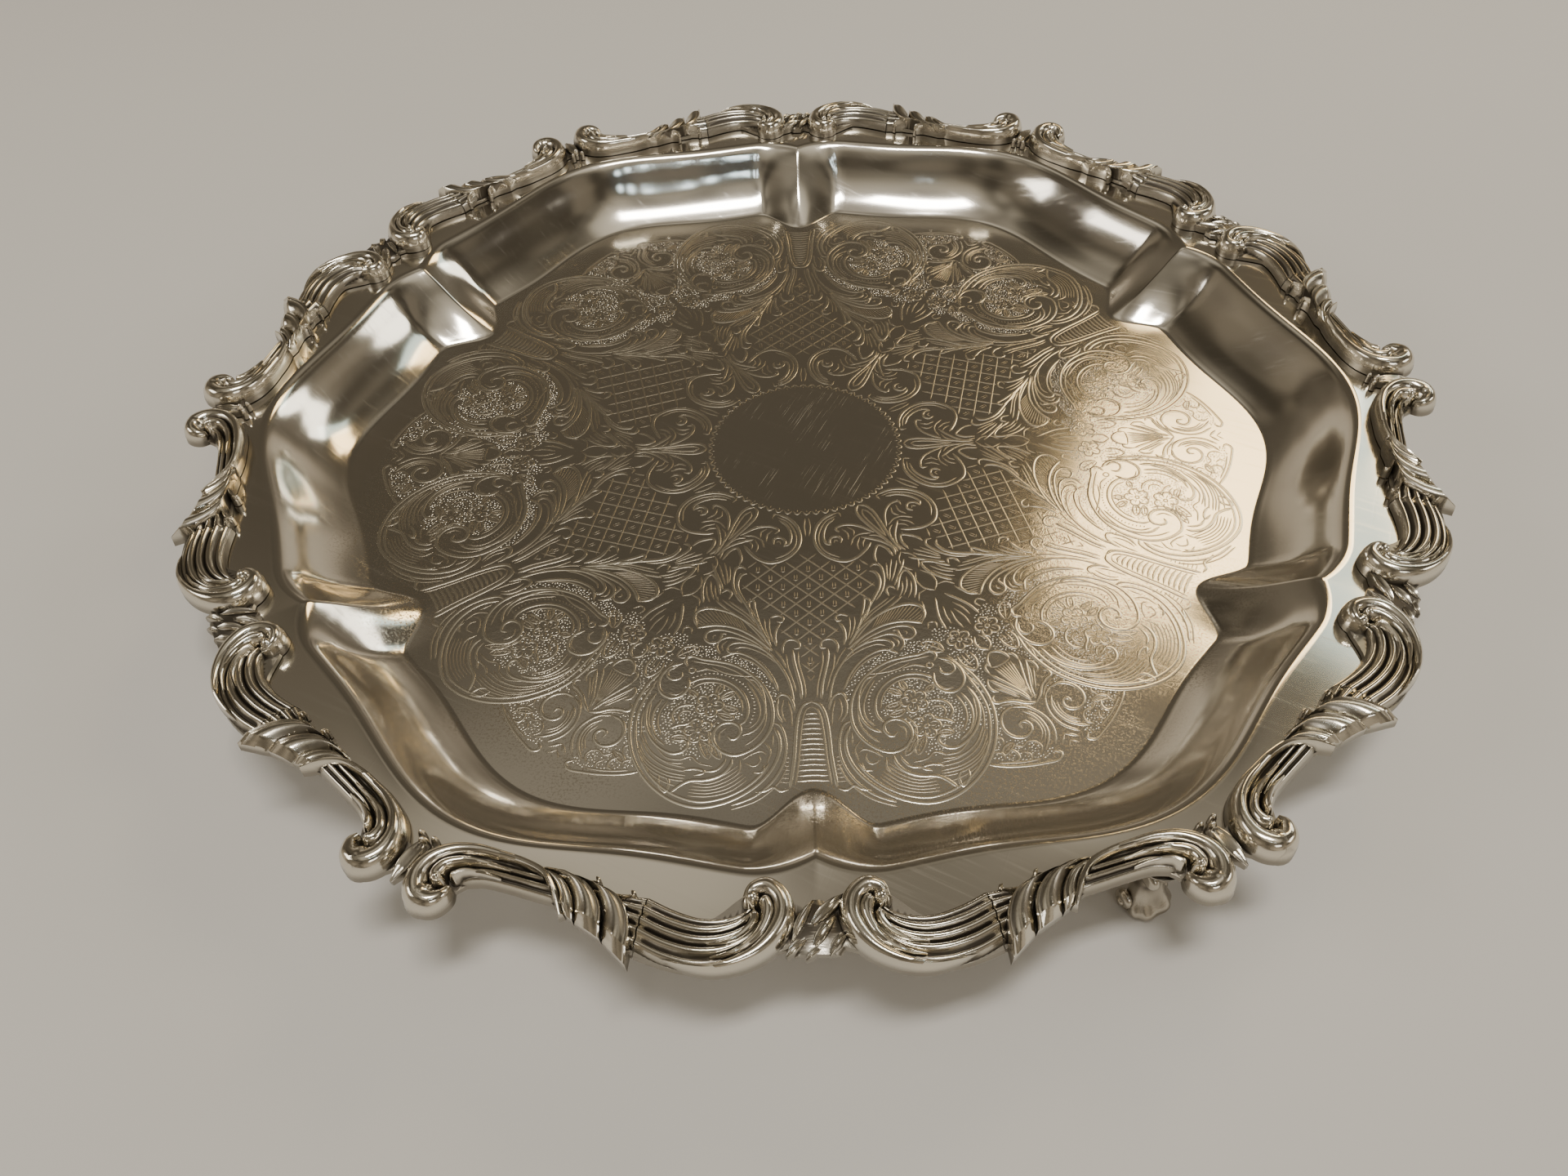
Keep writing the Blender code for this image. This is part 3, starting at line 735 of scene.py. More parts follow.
def fans():
    """Shell fan, paired volutes and flowers on each outward axis."""
    strokes = [(MEDIUM, [(-3.1, 102.5), (-2.8, 100.4), (-1.6, 98.8), (0, 98.1), (1.6, 98.8), (2.8, 100.4),
                         (3.1, 102.5)]),
               (FINE, [(-3.1, 102.5), (-1.6, 102.9), (0, 103.0), (1.6, 102.9), (3.1, 102.5)])]
    for k in range(-3, 4):
        strokes.append((0.3, [(0.86 * k, 103.4), (0.55 * k, 108.6), (0.16 * k, 114.4)]))
    strokes += both_sides([
        (MEDIUM, [(-4.8, 104.2), (-2.8, 108.6), (-1.0, 113.2), (-0.4, 116.0)]),
        (MEDIUM, [(-6.3, 105.2), (-3.9, 109.4), (-1.7, 113.4), (-0.6, 116.6)]),
        (MEDIUM, [(-4.8, 104.2), (-4.7, 101.9), (-3.6, 100.8), (-3.0, 102.2)]),
        (MEDIUM, [(-6.3, 105.2), (-7.4, 106.6), (-7.4, 108.8), (-6.2, 110.0)]),
        (FINE, [(-5.9, 106.8), (-4.6, 109.6), (-2.4, 113.4)]),
        (FINE, [(-6.4, 108.4), (-4.8, 110.8), (-2.6, 114.2)]),
        (BOLD, [(-8.0, 110.3), (-9.2, 110.9), (-9.0, 112.5), (-7.0, 113.1), (-4.4, 114.4), (-2.3, 116.4),
                (0, 117.8)]),
        (FINE, [(-8.4, 113.8), (-5.4, 114.8), (-3.0, 117.0), (-1.4, 119.4)]),
        (BOLD, [(-6.2, 115.7), (-9.0, 115.8), (-11.4, 117.6), (-12.4, 120.6), (-11.4, 123.4), (-8.9, 124.8),
                (-6.4, 124.0), (-5.6, 122.2), (-6.6, 120.6), (-8.0, 120.9), (-8.1, 122.4)]),
        (MEDIUM, [(-6.2, 115.7), (-3.4, 117.2), (-1.6, 120.0), (-0.8, 123.4), (-1.5, 127.0), (-3.9, 130.6)]),
        (MEDIUM, [(-4.8, 118.0), (-3.0, 120.2), (-2.4, 123.2), (-3.2, 126.6), (-5.3, 129.2), (-7.2, 130.6)]),
        (FINE, [(-4.9, 120.0), (-3.9, 122.6), (-4.4, 125.6), (-6.4, 127.8)]),
        (FINE, [(-4.2, 119.0), (-3.2, 122.2), (-3.8, 126.0), (-5.9, 128.6)]),
        (FINE, [(-15.9, 120.8), (-14.6, 122.2), (-15.4, 124.0)]),
        (FINE, [(-13.2, 125.2), (-11.4, 126.8), (-9.6, 126.2), (-7.8, 127.2), (-7.3, 129.2), (-8.6, 130.8)]),
        (MEDIUM, [(-15.2, 125.4), (-13.9, 127.3), (-14.3, 129.2), (-16.2, 129.4)]),
        (FINE, [(-12.4, 128.0), (-11.2, 129.6), (-11.8, 131.2)]),
        (FINE, [(-18.6, 124.6), (-17.0, 126.0), (-17.6, 127.6)]),
        (MEDIUM, [(-22.2, 126.6), (-18.6, 129.4), (-14.0, 131.9), (-9.4, 133.7), (-5.6, 134.6), (-4.2, 133.2),
                  (-5.6, 131.9)]),
        (FINE, [(-19.6, 127.6), (-14.4, 130.5), (-9.6, 132.2)]),
        (MEDIUM, [(-2.6, 131.6), (-1.2, 130.2), (0, 129.2)]),
        (FINE, [(-1.7, 133.2), (0, 131.4)]),
        (MEDIUM, [(-8.7, 94.6), (-9.0, 97.6), (-7.0, 100.8), (-5.0, 98.4), (-4.9, 95.2)]),
        (FINE, [(-7.4, 94.8), (-7.5, 97.6), (-6.9, 99.2)]),
        (FINE, [(-6.2, 94.8), (-6.3, 97.4)]),
        (FINE, [(-9.9, 78.6), (-8.0, 77.4), (-6.4, 75.6), (-5.6, 73.4)]),
        (MEDIUM, [(-5.6, 85.4), (-5.0, 81.4), (-3.4, 77.6), (-1.6, 74.4)]),
        (FINE, [(-3.2, 84.4), (-2.8, 81.2), (-1.6, 78.2)]),
        (FINE, [(-1.2, 87.4), (-1.4, 84.0), (-0.6, 80.4)]),
        (MEDIUM, [(-0.6, 91.6), (-1.9, 93.4), (-1.7, 95.6), (0, 97.2)]),
        (FINE, [(-10.8, 92.8), (-10.0, 96.8), (-10.2, 101.6), (-9.2, 106.6)]),
        (FINE, [(-9.8, 82.6), (-8.4, 80.8), (-6.8, 81.6), (-7.4, 83.6)]),
        (FINE, [(0.0, 72.0), (-2.2, 69.4), (-2.4, 66.0), (-0.8, 63.4)]),
        (FINE, [(-1.6, 70.4), (-4.6, 70.8), (-6.2, 73.0)]),
        (FINE, [(-1.0, 62.4), (-2.6, 59.6), (-2.0, 56.6), (0, 54.6)]),
        (MEDIUM, [(0, 31.6), (-1.6, 32.8), (-2.4, 35.6), (-2.1, 39.6), (-1.2, 45.0), (-0.6, 50.5),
                  (-0.5, 54.0)]),
        (FINE, [(0, 33.8), (-0.9, 35.2), (-1.1, 38.0), (-0.6, 42.6), (0, 47.0)]),
    ] + flower(-4.7, 90.2, 2.2, 1.3, 0.9))
    strokes += both_sides(leaf((-10.6, 91.2), (-14.4, 85.6), 1.7, 0.3, 3)
                          + leaf((-12.8, 124.8), (-17.4, 126.4), 0.9, 0.3, 2))
    return strokes


def middle_edge():
    """Small scallops round the plain middle."""
    strokes, count = [], 11
    for k in range(count):
        a, b, c = (radians(60 * (k + s) / count - 30) for s in (0.04, 0.5, 0.96))
        strokes.append((0.36, [(29.6 * sin(a), 29.6 * cos(a)), (30.9 * sin(b), 30.9 * cos(b)),
                               (29.6 * sin(c), 29.6 * cos(c))]))
        strokes.append((0.2, [(29.9 * sin(b), 29.9 * cos(b)), (29.0 * sin(b), 29.0 * cos(b))]))
    return strokes


def repeat_tree(name, sweep):
    """Geometry Nodes that carry one sector's strokes (sweep) or dots round the floor."""
    tree = bpy.data.node_groups.new(name, "GeometryNodeTree")
    for label, kind in (("Geometry", "Geometry"), ("Copies", "Int"), ("First Azimuth", "Float"),
                        ("Section", "Object")):
        tree.interface.new_socket(label, in_out="INPUT", socket_type=f"NodeSocket{kind}")
    tree.interface.new_socket("Geometry", in_out="OUTPUT", socket_type="NodeSocketGeometry")

    def fill(target, value):
        if isinstance(value, bpy.types.NodeSocket):
            tree.links.new(value, target)
        else:
            target.default_value = value

    def add(kind, settings=None, **values):
        node = tree.nodes.new(kind)
        for key, value in (settings or {}).items():
            setattr(node, key, value)
        for key, value in values.items():
            fill(node.inputs[key.replace("_", " ")], value)
        return node.outputs

    def calculate(operation, *values):
        node = tree.nodes.new("ShaderNodeMath")
        node.operation = operation
        for target, value in zip(node.inputs, values):
            fill(target, value)
        return node.outputs[0]

    given = tree.nodes.new("NodeGroupInput").outputs
    size = add("GeometryNodeInputNamedAttribute", {"data_type": "FLOAT"}, Name="half_width")["Attribute"]
    section = add("GeometryNodeObjectInfo", Object=given["Section"])["Geometry"]
    if sweep:
        line = add("GeometryNodeMeshToCurve", Mesh=given["Geometry"])["Curve"]
        line = add("GeometryNodeSetCurveNormal", {"mode": "Z_UP"}, Curve=line)["Curve"]
        profile = add("GeometryNodeMeshToCurve", Mesh=section)["Curve"]
        one = add("GeometryNodeCurveToMesh", Curve=line, Profile_Curve=profile, Scale=size,
                  Fill_Caps=True)["Mesh"]
    else:
        one = add("GeometryNodeInstanceOnPoints", Points=given["Geometry"], Instance=section,
                  Scale=size)["Instances"]
    places = add("GeometryNodePoints", Count=given["Copies"])["Points"]
    step = calculate("DIVIDE", 2 * pi, given["Copies"])
    index = add("GeometryNodeInputIndex")["Index"]
    spin = add("ShaderNodeCombineXYZ", Z=calculate("MULTIPLY_ADD", index, step,
                                                   given["First Azimuth"]))["Vector"]
    ring = add("GeometryNodeInstanceOnPoints", Points=places, Instance=one, Rotation=spin)["Instances"]
    whole = add("GeometryNodeRealizeInstances", Geometry=ring)["Geometry"]
    tree.links.new(whole, tree.nodes.new("NodeGroupOutput").inputs[0])
    return tree


def wire(name, strokes, step=0.75):
    """Strokes as chains of edges on the floor, each point carrying its half width; ends taper."""
    points, edges, widths = [], [], []
    for number, (width, drawn) in enumerate(strokes):
        width *= 1 + 0.05 * sin(7.3 * number)
        line = smooth_path(drawn, step=step)
        run = np.linspace(0, 1, len(line))
        length = np.hypot(*np.diff(line, axis=0).T).sum()
        end = min(0.5, 1.3 / max(length, 1e-6))
        closed = hypot(*(line[0] - line[-1])) < 0.05
        taper = np.ones(len(line)) if closed else np.clip(np.minimum(run, 1 - run) / end, 0.22, 1) ** 0.7
        first = len(points)
        if closed:
            line, taper = line[:-1], taper[:-1]
        # the sector's y runs outwards, along +X before it is turned to its azimuth
        points += [(y, x, FLOOR) for x, y in line]
        widths += list(width * taper)
        edges += [(first + i, first + i + 1) for i in range(len(line) - 1)]
        if closed:
            edges.append((first + len(line) - 1, first))
    mesh = new_mesh(name, points, edges=edges)
    store(mesh, "half_width", widths)
    return mesh


def repeated(name, mesh, tree, section, azimuth):
    """Runs the tree on one sector and keeps the plain mesh that it makes."""
    source = linked(f"{name} sector", mesh)
    modifier = source.modifiers.new("round the floor", "NODES")
    modifier.node_group = tree
    values = {"Copies": LOBES, "First Azimuth": radians(azimuth), "Section": section}
    for item in tree.interface.items_tree:
        if item.in_out == "INPUT" and item.name in values:
            modifier[item.identifier] = values[item.name]
    source.update_tag()
    made = evaluated(source)
    bpy.data.objects.remove(source)
    if "half_width" in made.attributes:
        made.attributes.remove(made.attributes["half_width"])
    return finished(name, made, CHASED, LINE_SHARP)


def line_section():
    """Across a chased line, on a half width of one: two lips either side of a shallow valley."""
    loop = [(-1, -0.05), (-0.58, 0.20), (0, 0.015), (0.58, 0.20), (1, -0.05)]
    mesh = new_mesh("line section", [(x, -y, 0) for x, y in loop], edges=[(i, (i + 1) % 5) for i in range(5)])
    return linked("line section", mesh)


def punch_mark():
    """A punched dot's burr: a low six-sided dome, sunk a little into the floor."""
    rings = [(1.0, -0.12), (0.72, 0.30), (0.28, 0.46)]
    points = [(r * cos(pi * k / 3), r * sin(pi * k / 3), z) for r, z in rings for k in range(6)]
    return linked("punch mark", new_mesh("punch mark", points, tube_faces(3, 6)))


def stipple(strokes, polygons, seed):
    """Random dots inside the polygons, clear of lines and of each other, and the generator that drew them."""
    drawn = np.concatenate([smooth_path(points, step=0.5)[:, :2] for _, points in strokes])
    draw = np.random.default_rng(seed)
    kept = []
    for polygon in polygons:
        box = np.array(polygon)
        low, high = box.min(0), box.max(0)
        tries = int((high - low).prod() / DOT_SPACING**2 * 3)
        for x, y in draw.uniform(low, high, (tries, 2)):
            if not inside(polygon, x, y) or np.min(np.hypot(drawn[:, 0] - x, drawn[:, 1] - y)) < DOT_CLEAR:
                continue
            if kept and np.min(np.hypot(*(np.array(kept[-400:]) - (x, y)).T)) < DOT_SPACING:
                continue
            kept.append((x, y))
    return kept, draw


def turned(strokes, angle):
    """Strokes of one sector seen from a sector at another azimuth."""
    a = radians(angle)
    return [(width, [(x * cos(a) + y * sin(a), y * cos(a) - x * sin(a)) for x, y in points])
            for width, points in strokes]


SCROLL_GROUND = (
    [(-33, 94), (-28, 92.8), (-22.8, 94.4), (-18.8, 98), (-17.6, 103), (-19.4, 105.6), (-23, 105.2),
     (-26, 108), (-26.8, 113.6), (-29, 118), (-33, 117.4), (-34.6, 113), (-37.4, 112), (-39, 107), (-39, 102),
     (-37, 99)],
    [(-24, 85.2), (-20, 84), (-16, 85.8), (-12.8, 88.9), (-10.6, 92.6), (-9.2, 97), (-9.4, 101), (-10.6, 98),
     (-13, 93.6), (-16.6, 89.6), (-21, 86.9), (-27, 85.2), (-32.6, 83.6), (-34, 79.6), (-29.4, 80.6),
     (-26, 80.6)],
    [(-45.4, 98), (-43.8, 97), (-42.4, 96), (-44, 101), (-44.2, 106), (-43, 111), (-44.6, 113), (-45.4, 108),
     (-45.6, 102)],
    [(-36, 100), (-42, 102), (-42, 108), (-37, 113), (-34, 112), (-38, 106)],
)
FAN_GROUND = (
    [(-1, 98), (-3.2, 99.4), (-5.4, 101), (-7.6, 105.6), (-9.4, 109.4), (-10.6, 104), (-10.4, 98),
     (-11.2, 93.6), (-9, 91), (-7, 93.6), (-3.6, 93.6), (-1.4, 91)],
    [(-9.4, 113.6), (-6.6, 114), (-4, 115.2), (-2.4, 117), (-6.2, 115.2), (-9.6, 115.2), (-11.6, 116.6),
     (-12.8, 119.6), (-13.2, 122), (-15.4, 120.6), (-12.4, 115), (-10.4, 111)],
    [(-12.8, 123.6), (-16, 122.4), (-20, 126), (-16, 129.6), (-10, 132.2), (-6.4, 132.8), (-3.8, 131.4),
     (-6.6, 130.6), (-8.6, 126.4)],
    [(-12.6, 88), (-9, 83.4), (-5.6, 83.6), (-2, 88), (-2.6, 92), (-8, 88)],
)


def punched(name, strokes, polygons, azimuth, mark, tree, seed):
    """Punched ground on both sides of an axis."""
    dots, draw = stipple(strokes, polygons, seed)
    mesh = new_mesh(name, [(y, side * x, FLOOR) for side in (1, -1) for x, y in dots])
    sizes = draw.uniform(0.22, 0.34, len(dots))
    store(mesh, "half_width", np.concatenate([sizes, sizes]))
    return repeated(name, mesh, tree, mark, azimuth)


def make_chasing():
    """Every chased motif and punched ground, each one piece all round the floor."""
    sweep, scatter = repeat_tree("chased lines round the floor",
                                 True), repeat_tree("punched dots round the floor", False)
    section, mark = line_section(), punch_mark()
    motifs = (("chased_centre_scrolls", centre_scrolls(), FRONT), ("chased_trellis", trellis(), FRONT),
              ("chased_leaf_sides", leaf_sides(), FRONT), ("chased_leaf_bands", leaf_bands(), FRONT),
              ("chased_large_scrolls", ear_outlines(), FRONT), ("chased_foliage", ear_foliage(), FRONT),
              ("chased_ladders", ladders(), FRONT), ("chased_fans", fans(), SCROLL_AXIS),
              ("chased_middle_edge", middle_edge(), FRONT))
    pieces = [repeated(name, wire(name, strokes), sweep, section, azimuth)
              for name, strokes, azimuth in motifs]
    by_name = {name: strokes for name, strokes, _ in motifs}
    near_scrolls = (by_name["chased_large_scrolls"] + by_name["chased_foliage"] + by_name["chased_leaf_bands"]
                    + by_name["chased_ladders"])
    pieces.append(punched("punched_scroll_ground", near_scrolls, SCROLL_GROUND, FRONT, mark, scatter, 11))
    near_fans = by_name["chased_fans"] + turned(near_scrolls, -30) + turned(near_scrolls, 30)
    pieces.append(punched("punched_fan_ground", near_fans, FAN_GROUND, SCROLL_AXIS, mark, scatter, 12))
    for stale in (section, mark):
        bpy.data.objects.remove(stale)
    return pieces


# ---- castings ------------------------------------------------------------
def on_border(t, r, z, axis):
    """Lengthwise and radial measures bent round the rim, about an azimuth."""
    turn = np.asarray(t) / DEVELOPED + radians(axis)
    return np.stack([r * np.cos(turn), r * np.sin(turn), z], -1)


def closed_skin(rows):
    """A closed form from rows of a domed section; each row starts and ends on the bed."""
    rows = np.asarray(rows)
    count, across = rows.shape[:2]
    faces = grid_faces(count, across)
    for i in range(count - 1):
        a, b = i * across, (i + 1) * across
        faces.append((a, b, b + across - 1, a + across - 1))
    faces.append(tuple(range(across - 1, -1, -1)))
    faces.append(tuple(range((count - 1) * across, count * across)))
    return rows.reshape(-1, 3), faces


def dome(v, reeds=0, depth=0.25):
    """Share of the full height across a rounded form, v from -1 to 1, with or without reeds."""
    share = np.sqrt(np.maximum(0, 1 - np.abs(v) ** 2.4))
    if reeds:
        return share * (1 - depth + depth * np.abs(np.sin(reeds * pi * (v + 1) / 2)) ** 0.7)
    return share


def veined(v):
    """Share of the full height across a leaf: raised edges and a midrib."""
    return dome(v) ** 0.5 * (0.62 + 0.38 * np.abs(v) ** 1.6 + 0.10 * np.exp(-(v / 0.13) ** 2))


def blade(path, shape=dome, across=11, step=0.55):
    """A form swept along rows of (t, r, half width, height)."""
    line = smooth_path(path, step=step)
    run = np.gradient(line[:, :2], axis=0)
    run /= np.maximum(np.hypot(*run.T), 1e-9)[:, None]
    side = np.stack([-run[:, 1], run[:, 0]], 1)
    v = np.sin(np.linspace(-pi / 2, pi / 2, across))
    t = line[:, 0, None] + side[:, 0, None] * line[:, 2, None] * v
    r = line[:, 1, None] + side[:, 1, None] * line[:, 2, None] * v
    z = BED + line[:, 3, None] * shape(v)
    return closed_skin(np.stack([t, r, z], -1))


def knob(t, r, radius, height, rings=7, sides=20):
    """A round dome, closed below."""
    points = []
    for i in range(rings):
        a = pi / 2 * i / rings
        for j in range(sides):
            b = 2 * pi * j / sides
            points.append((t + radius * cos(a) * cos(b), r + radius * cos(a) * sin(b), BED + height * sin(a)))
    points.append((t, r, BED + height))
    faces = grid_faces(rings, sides, around=True)
    last = (rings - 1) * sides
    faces += [(last + j, last + (j + 1) % sides, len(points) - 1) for j in range(sides)]
    faces.append(tuple(range(sides - 1, -1, -1)))
    return np.array(points), faces


def band(one_edge, other_edge, height, reeds=0, depth=0.3, count=44, across=None, ends=(1.0, 1.0),
         lapping=False):
    """A crowned form between two edges: reeded along its length, or lapping with its crest by the second."""
    a, b = smooth_path(one_edge, count=count), smooth_path(other_edge, count=count)
    across = across or (reeds * 8 + 3 if reeds else 17)
    v = np.linspace(-1, 1, across)
    u = (v + 1) / 2
    share = dome(v * 0.999, reeds, depth)
    if lapping:
        lip = np.exp(-((u - 0.93) / 0.05) ** 2)
        share = 0.50 + 0.34 * np.sin(pi * u) ** 0.8 + 0.18 * u + 0.16 * lip
        share = share * np.minimum(1, (1 - np.abs(v)) / 0.09) ** 0.5
    share[0] = share[-1] = 0
    full = height * np.interp(np.linspace(0, 1, count), (0, 0.12, 0.88, 1), (ends[0], 1, 1, ends[1]))
    t = a[:, 0, None] * (1 - u) + b[:, 0, None] * u
    r = a[:, 1, None] * (1 - u) + b[:, 1, None] * u
    z = BED + full[:, None] * share
    return closed_skin(np.stack([t, r, z], -1))


def bed(from_t, to_t, axis_spot, height=1.1, inset=0.9, count=60):
    """The thin plate under a casting's scrolls, between the border's two outlines."""
    t = np.linspace(from_t, to_t, count)
    spot = np.abs(axis_spot - np.abs(np.degrees(t / DEVELOPED)))
    inner, outer = read(BORDER_INNER, spot) + inset, read(BORDER_OUTER, spot) - inset
    rows = [[(a, i, BED), (a, i + 0.25, BED + height), (a, o - 0.25, BED + height), (a, o, BED)]
            for a, i, o in zip(t, inner, outer)]
    return closed_skin(rows)


def mirrored(form):
    """A form's mirror image across the casting's middle."""
    points, faces = form
    return points * (-1, 1, 1), [face[::-1] for face in faces]


def both_halves(seam, axis_spot, half, centre):
    """A casting's forms: its bed, one half with its mirror image, and what stands between them."""
    return [bed(-seam, seam, axis_spot)] + half + [mirrored(form) for form in half] + centre


def fused(name, forms):
    """One skin round all the forms, in the border's lengthwise and radial measures."""
    parts = []
    for i, (points, faces) in enumerate(forms):
        mesh = bpy.data.meshes.new(f"{name} form {i}")
        mesh.from_pydata(points.tolist(), [], faces)
        shape = bmesh.new()
        shape.from_mesh(mesh)
        bmesh.ops.remove_doubles(shape, verts=shape.verts, dist=1e-5)
        bmesh.ops.recalc_face_normals(shape, faces=shape.faces)
        bmesh.ops.triangulate(shape, faces=shape.faces)
        shape.to_mesh(mesh)
        shape.free()
        parts.append(mesh)
    base = linked(name, parts[0])
    others = bpy.data.collections.new(f"{name} forms")
    bpy.context.scene.collection.children.link(others)
    for mesh in parts[1:]:
        others.objects.link(bpy.data.objects.new(mesh.name, mesh))
    union = base.modifiers.new("union", "BOOLEAN")
    union.operation, union.solver, union.operand_type = "UNION", "MANIFOLD", "COLLECTION"
    union.collection = others
    made = evaluated(base)
    for piece in list(others.objects) + [base]:
        bpy.data.objects.remove(piece)
    bpy.data.collections.remove(others)
    return made


def mark_hollows(mesh, rounds=5, reach=0.55):
    """Stores how sunk each point lies among its neighbours: 0 on crests, 1 in creases."""
    count = len(mesh.vertices)
    points, normals = rows_of(mesh.vertices, "co", 3), rows_of(mesh.vertex_normals, "vector", 3)
    ends = rows_of(mesh.edges, "vertices", 2, int)
    away = points[ends[:, 1]] - points[ends[:, 0]]
    span = np.maximum(np.linalg.norm(away, axis=1), 1e-9)
    total, met = np.zeros(count), np.zeros(count)
    for here, sign in ((0, 1), (1, -1)):
        lean = sign * (away * normals[ends[:, here]]).sum(1) / span
        np.add.at(total, ends[:, here], lean)
        np.add.at(met, ends[:, here], 1)
    sunk = total / np.maximum(met, 1)
    for _ in range(rounds):
        spread = np.zeros(count)
        np.add.at(spread, ends[:, 0], sunk[ends[:, 1]])
        np.add.at(spread, ends[:, 1], sunk[ends[:, 0]])
        sunk = 0.5 * sunk + 0.5 * spread / np.maximum(met, 1)
    store(mesh, "hollow", np.clip(0.5 + sunk / reach, 0, 1))


def shell_scroll_half():
    """The right half of a casting over a pleat: reeds running into a double volute."""
    outer = [(37.15, 181.4), (31, 183.2), (24, 183.8), (17.5, 182.2), (12.6, 178.4), (10.4, 173.6)]
    inner = [(37.15, 168.9), (31, 170.6), (25, 171.6), (20, 171.1), (16.6, 169.8), (14.8, 168.2)]
    forms = [band(inner, outer, 4.6, reeds=5, depth=0.34, ends=(1.0, 0.8))]
    forms.append(blade([(31.5, 182.2, 0.25, 2.4), (27.0, 183.0, 0.7, 4.0), (21.5, 183.1, 1.1, 4.9),
                        (16.5, 181.5, 1.6, 5.3), (12.0, 178.6, 2.1, 5.6), (9.0, 175.0, 2.6, 6.0),
                        (7.4, 170.8, 2.9, 6.2), (8.4, 166.8, 2.9, 6.2), (11.4, 164.6, 2.6, 6.1),
                        (14.4, 165.6, 2.0, 5.8), (15.6, 167.8, 1.3, 5.0)]))
    forms.append(knob(14.3, 167.4, 2.5, 5.8))
    forms.append(blade([(21.5, 181.2, 0.5, 4.2), (16.6, 179.6, 1.1, 5.2), (12.9, 176.6, 1.5, 5.6),
                        (10.9, 172.8, 1.8, 5.9), (10.6, 169.8, 2.2, 6.1), (11.3, 168.2, 2.0, 6.0)]))
    forms.append(knob(11.3, 168.3, 2.0, 6.1))
    forms.append(blade([(22.5, 178.4, 0.4, 3.9), (18.2, 177.4, 0.9, 4.9), (15.2, 175.2, 1.2, 5.3),
                        (13.5, 172.6, 1.3, 5.5), (13.3, 171.2, 1.3, 5.5)]))
    forms.append(knob(13.4, 171.3, 1.35, 5.6))
    return forms


def shell_centre():
    """Leaf spray between the two volutes over a pleat, its leaves leaning one way."""
    forms = [blade([(0, 166.4, 1.6, 1.5), (0, 170, 5.4, 2.1), (0, 175, 6.8, 2.3), (0, 178.6, 4.8, 1.8)],
                   across=9)]
    for base, tip, wide, high in (((-5.2, 175.6), (-0.8, 166.6), 1.15, 3.8),
                                  ((-1.8, 173.0), (6.6, 165.4), 1.45, 4.4),
                                  ((-1.0, 177.6), (3.9, 170.6), 1.25, 4.1),
                                  ((-6.4, 179.0), (-1.6, 174.8), 1.05, 3.5),
                                  ((2.4, 178.8), (6.6, 173.4), 1.05, 3.5),
                                  ((-2.4, 179.6), (1.4, 176.6), 0.8, 3.0)):
        (t0, r0), (t1, r1) = base, tip
        forms.append(blade([(t0, r0, wide * 0.3, high * 0.6),
                            (t0 * 0.65 + t1 * 0.35 - 0.36, r0 * 0.65 + r1 * 0.35, wide, high),
                            (t0 * 0.3 + t1 * 0.7 - 0.27, r0 * 0.3 + r1 * 0.7, wide * 0.85, high),
                            (t1, r1, wide * 0.12, high * 0.7)], shape=veined, step=0.4, across=13))
    return forms


